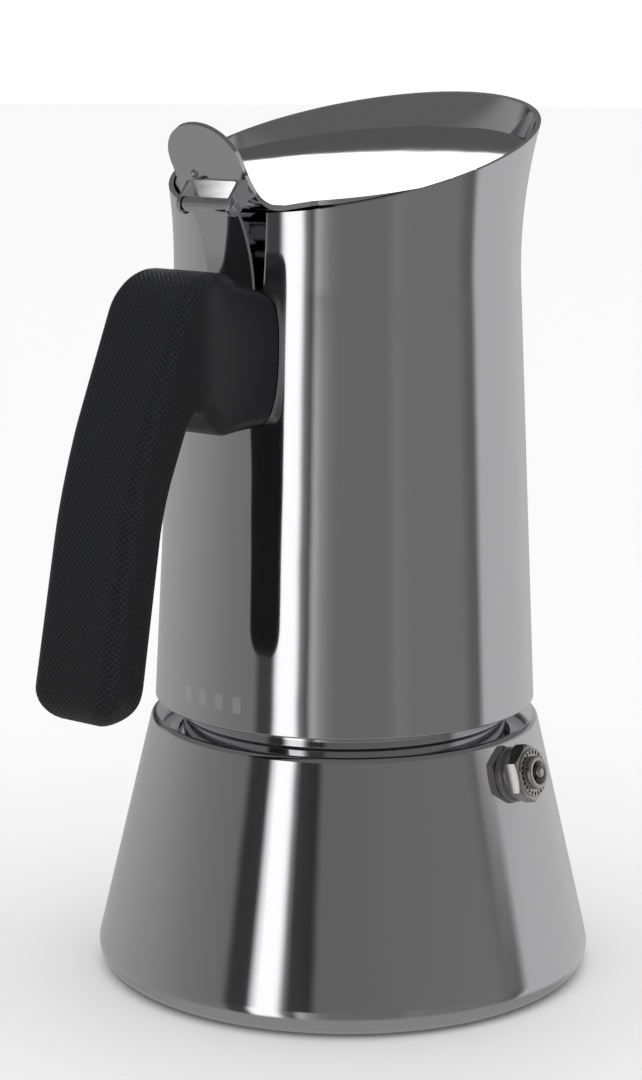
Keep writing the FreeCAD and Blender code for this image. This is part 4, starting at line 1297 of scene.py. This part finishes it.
    def add_ears(self, mesh: Mesh) -> None:
        """Add the two ears that hold the pin, each a hull round its eye and its root.

        Args:
            mesh: The bent lid.
        """
        for side in (1, -1):
            ear = bmesh.new()
            for depth in (self.window_half, self.window_half + self.ear):
                eye = at(-self.hinge_out, side * depth, self.hinge_up)
                bmesh.ops.create_circle(
                    ear, segments=40, radius=self.ear_radius * MM,
                    matrix=Matrix.Translation(eye) @ Matrix.Rotation(math.pi / 2, 4, "X"),
                )
                for out, up in self.ear_root:
                    ear.verts.new(at(-out, side * depth, up))
            made = bmesh.ops.convex_hull(ear, input=ear.verts)
            bmesh.ops.delete(
                ear, geom=list({*made["geom_interior"], *made["geom_unused"]}), context="VERTS"
            )
            bmesh.ops.dissolve_limit(
                ear, angle_limit=math.radians(1), verts=ear.verts, edges=ear.edges
            )
            face_outwards(ear)
            brinks = [e for e in ear.edges if e.calc_face_angle(0) > 1]
            round_edges(ear, brinks, self.ear_round, 2)
            join(mesh, ear)

    def add_pip(self, mesh: Mesh) -> None:
        """Add the domed pip on the tab's outer face.

        Args:
            mesh: The bent lid.
        """
        pip = bmesh.new()
        bmesh.ops.create_uvsphere(pip, u_segments=24, v_segments=12, radius=self.pip * MM)
        turn_all(pip, -math.pi / 2 - self.lean_angle, "Y")
        bmesh.ops.translate(pip, verts=pip.verts, vec=at(*self.pip_place))
        join(mesh, pip)


# ---------------------------------------------------------------------------------------------
# Handle
# ---------------------------------------------------------------------------------------------
@dataclass
class Handle:
    """The moulded grip: a flat-sided bow with crisp ridges and a rounded boss on the wall."""

    half: float = 9.8
    ridge: float = 2.8
    root: float = 33.0
    root_low: float = 118.2
    root_high: float = 143.5
    boss_middle: float = 132.2
    boss_half: float = 14.2
    boss_flat: float = 0.56
    boss_power: float = 2.6
    boss_low: float = 112.0
    boss_end: float = 54.0
    boss_fade: float = 16.0
    gap: float = 0.3
    foot: float = 66.3
    foot_out: float = 60.0
    foot_round: float = 8.0
    foot_share: float = 0.86
    # Distance out, height, rounding and steps of each corner of the side outline
    corners: tuple[tuple[float, float, float, int], ...] = (
        (50.5, 118.2, 6.0, 8), (58.0, 126.8, 4.0, 10), (67.3, 107.0, 45.0, 8),
        (74.8, 66.0, 5.4, 9), (86.2, 68.4, 5.4, 9), (76.85, 113.1, 110.0, 10),
        (59.8, 151.1, 12.0, 14), (44.5, 148.7, 10.0, 8),
    )

    def build(self, finishes: Finishes, collector: Collector) -> None:
        """Make the grip.

        Args:
            finishes: The pot's finishes.
            collector: The collector, on whose wall the boss sits.
        """
        mesh = bmesh.new()
        outline = self.draw_side(mesh)
        self.round_ridges(mesh)
        self.slice_up(mesh)
        self.shape(mesh, collector)
        self.map_grain(mesh, outline)
        turn_all(mesh, math.pi, "Z")
        finish_piece(
            "handle_grip_grained", mesh, finishes.handle, Body.COLLECTOR,
            "handle_grip", sharp=45.0,
        )

    def draw_side(self, mesh: Mesh) -> list[tuple[Vector, float]]:
        """Draw the side outline outwards from the wall and pad it to the grip's width.

        Args:
            mesh: The bmesh that gets it.

        Returns:
            The outline's points with their distances along it, from the boss's top.
        """
        points = [
            (self.root, self.root_low), *[c[:2] for c in self.corners],
            (self.root, self.root_high),
        ]
        placed = wire(mesh, points)
        for vert, (_, _, radius, steps) in zip(placed[1:-1], self.corners):
            round_corner(mesh, vert, radius, steps)
        side = bmesh.ops.edgeloop_fill(mesh, edges=mesh.edges)["faces"][0]
        ring = [v.co.copy() for v in side.verts]
        outline = []
        travelled = 0.0
        for point, following in zip(ring, [*ring[1:], ring[0]]):
            outline.append((point, travelled))
            travelled += (following - point).length
        bmesh.ops.translate(mesh, verts=mesh.verts, vec=at(0, -self.half, 0))
        pushed = bmesh.ops.extrude_face_region(mesh, geom=[side])["geom"]
        bmesh.ops.translate(mesh, vec=at(0, 2 * self.half, 0), verts=pick(pushed, Vert))
        face_outwards(mesh)
        return outline

    def round_ridges(self, mesh: Mesh) -> None:
        """Round the long edges into crisp ridges.

        Args:
            mesh: The grip.
        """
        long_edges = [
            e for e in mesh.edges
            if abs(e.verts[0].co.y - e.verts[1].co.y) < 1e-9
            and max(v.co.x for v in e.verts) > (self.root + 0.5) * MM
        ]
        round_edges(mesh, long_edges, self.ridge, 6, clamp=False)

    def slice_up(self, mesh: Mesh) -> None:
        """Slice the boss and the lower end finely enough to be shaped.

        Args:
            mesh: The grip.
        """
        cuts = [((35.0 + 1.5 * k, 0, 0), (1, 0, 0)) for k in range(14)]
        cuts += [((0, 0, 116.0 + 1.5 * k), (0, 0, 1)) for k in range(24)]
        cuts += [((0, 0, 66.4 + 0.8 * k), (0, 0, 1)) for k in range(16)]
        cuts += [((0, 2.0 * k, 0), (0, 1, 0)) for k in range(-3, 4)]
        for place, away in cuts:
            slice_all(mesh, at(*place), away)

    def shape(self, mesh: Mesh, collector: Collector) -> None:
        """Round the boss to an upright oval, round the lower end, and seat the boss.

        Args:
            mesh: The grip.
            collector: The collector, on whose wall the boss sits.
        """
        for vert in mesh.verts:
            out, side, up = vert.co / MM
            if up > self.boss_low:
                side *= self.boss_width(out, up)
            if out > self.foot_out:
                side *= self.foot_width(up)
            wall = math.sqrt(max(collector.radius_at(up) ** 2 - side**2, 1.0)) + self.gap
            vert.co = at(max(out, wall), side, up)
        bmesh.ops.remove_doubles(mesh, verts=mesh.verts, dist=0.004 * MM)
        bmesh.ops.dissolve_degenerate(mesh, edges=mesh.edges, dist=0.002 * MM)

    def boss_width(self, out: float, up: float) -> float:
        """Give how wide the boss is at a point of the grip's side.

        Args:
            out: Distance from the pot's axis in millimetres.
            up: Height in millimetres.

        Returns:
            The boss's share of the grip's width.
        """
        reach = min(max((self.boss_end - out) / self.boss_fade, 0.0), 1.0)
        share = reach * reach * (3 - 2 * reach)
        offset = min(abs(up - self.boss_middle) / self.boss_half, 1.0)
        oval = math.sqrt(max(1 - offset**self.boss_power, 0.0))
        return 1 - share * (1 - self.boss_flat) * (1 - oval)

    def foot_width(self, up: float) -> float:
        """Give how wide the rounded lower end is at a height.

        Args:
            up: Height in millimetres.

        Returns:
            The end's share of the grip's width.
        """
        left = self.foot_round - min(max(up - self.foot, 0.0), self.foot_round)
        chord = math.sqrt(self.foot_round**2 - left**2)
        return 1 - self.foot_share * (self.foot_round - chord) / self.half

    def map_grain(self, mesh: Mesh, outline: Sequence[tuple[Vector, float]]) -> None:
        """Lay the grain's map over the grip: across and along the bow, or flat on its sides.

        Args:
            mesh: The grip.
            outline: Points of the side outline with their distances along it.
        """
        layer = mesh.loops.layers.uv.new(GRAIN_MAP)
        along = {vert: self.travelled(outline, vert.co) for vert in mesh.verts}
        for face in mesh.faces:
            flat = abs(face.normal.y) > 0.75
            for loop in face.loops:
                spot = loop.vert.co
                loop[layer].uv = (spot.x, spot.z) if flat else (spot.y, along[loop.vert])

    @staticmethod
    def travelled(outline: Sequence[tuple[Vector, float]], spot: Vector) -> float:
        """Give the distance along the outline at its point nearest to a spot.

        Args:
            outline: Points of the side outline with their distances along it.
            spot: The spot.

        Returns:
            The distance in metres.
        """
        level = Vector((spot.x, 0, spot.z))
        best = (math.inf, 0.0)
        for (start, before), (end, _) in zip(outline, outline[1:]):
            share = geometry.intersect_point_line(level, start, end)[1]
            share = min(max(share, 0.0), 1.0)
            gap = (start.lerp(end, share) - level).length
            best = min(best, (gap, before + share * (end - start).length))
        return best[1]


@dataclass
class CarriedParts:
    """CAD parts whose shape is kept, grouped by their finish."""

    parts: dict[Slot, tuple[str, ...]] = field(default_factory=lambda: {
        Slot.SATIN: (
            "base_disc", "valve_boss", "valve_washer", "funnel_cup", "funnel_stem",
            "funnel_sieve", "filter_plate", "thread_ring", "collector_floor", "riser_tube",
            "riser_cap", "handle_stud", "handle_screw",
        ),
        Slot.POLISHED: ("hinge_strap", "hinge_pin"),
        Slot.BRASS: ("valve_gland", "valve_pin"),
        Slot.RUBBER: ("gasket_ring",),
        Slot.SPRING: ("valve_spring",),
    })

    def dress(self, nodes: dict[str, bpy.types.Object], finishes: Finishes) -> None:
        """Give every kept CAD part its finish.

        Args:
            nodes: The CAD nodes by name.
            finishes: The pot's finishes.
        """
        looks = {
            Slot.SATIN: finishes.satin,
            Slot.POLISHED: finishes.polished,
            Slot.BRASS: finishes.brass,
            Slot.RUBBER: finishes.rubber,
            Slot.SPRING: finishes.spring,
        }
        for slot, names in self.parts.items():
            for name in names:
                materials = nodes[name].data.materials
                materials.clear()
                materials.append(looks[slot])
                log.info("%s: %s", name, looks[slot].name)


def main() -> None:
    """Build the pot's looks in order."""
    logging.basicConfig(level=logging.INFO, format="%(name)s: %(message)s")
    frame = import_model()
    Studio().build()
    finishes = Finishes.make()
    CarriedParts().dress(frame["nodes"], finishes)
    Boiler().build(finishes)
    collector = Collector()
    collector.build(finishes)
    SafetyValve().build(finishes)
    Lid().build(finishes, collector)
    Handle().build(finishes, collector)


if __name__ == "__main__":
    main()
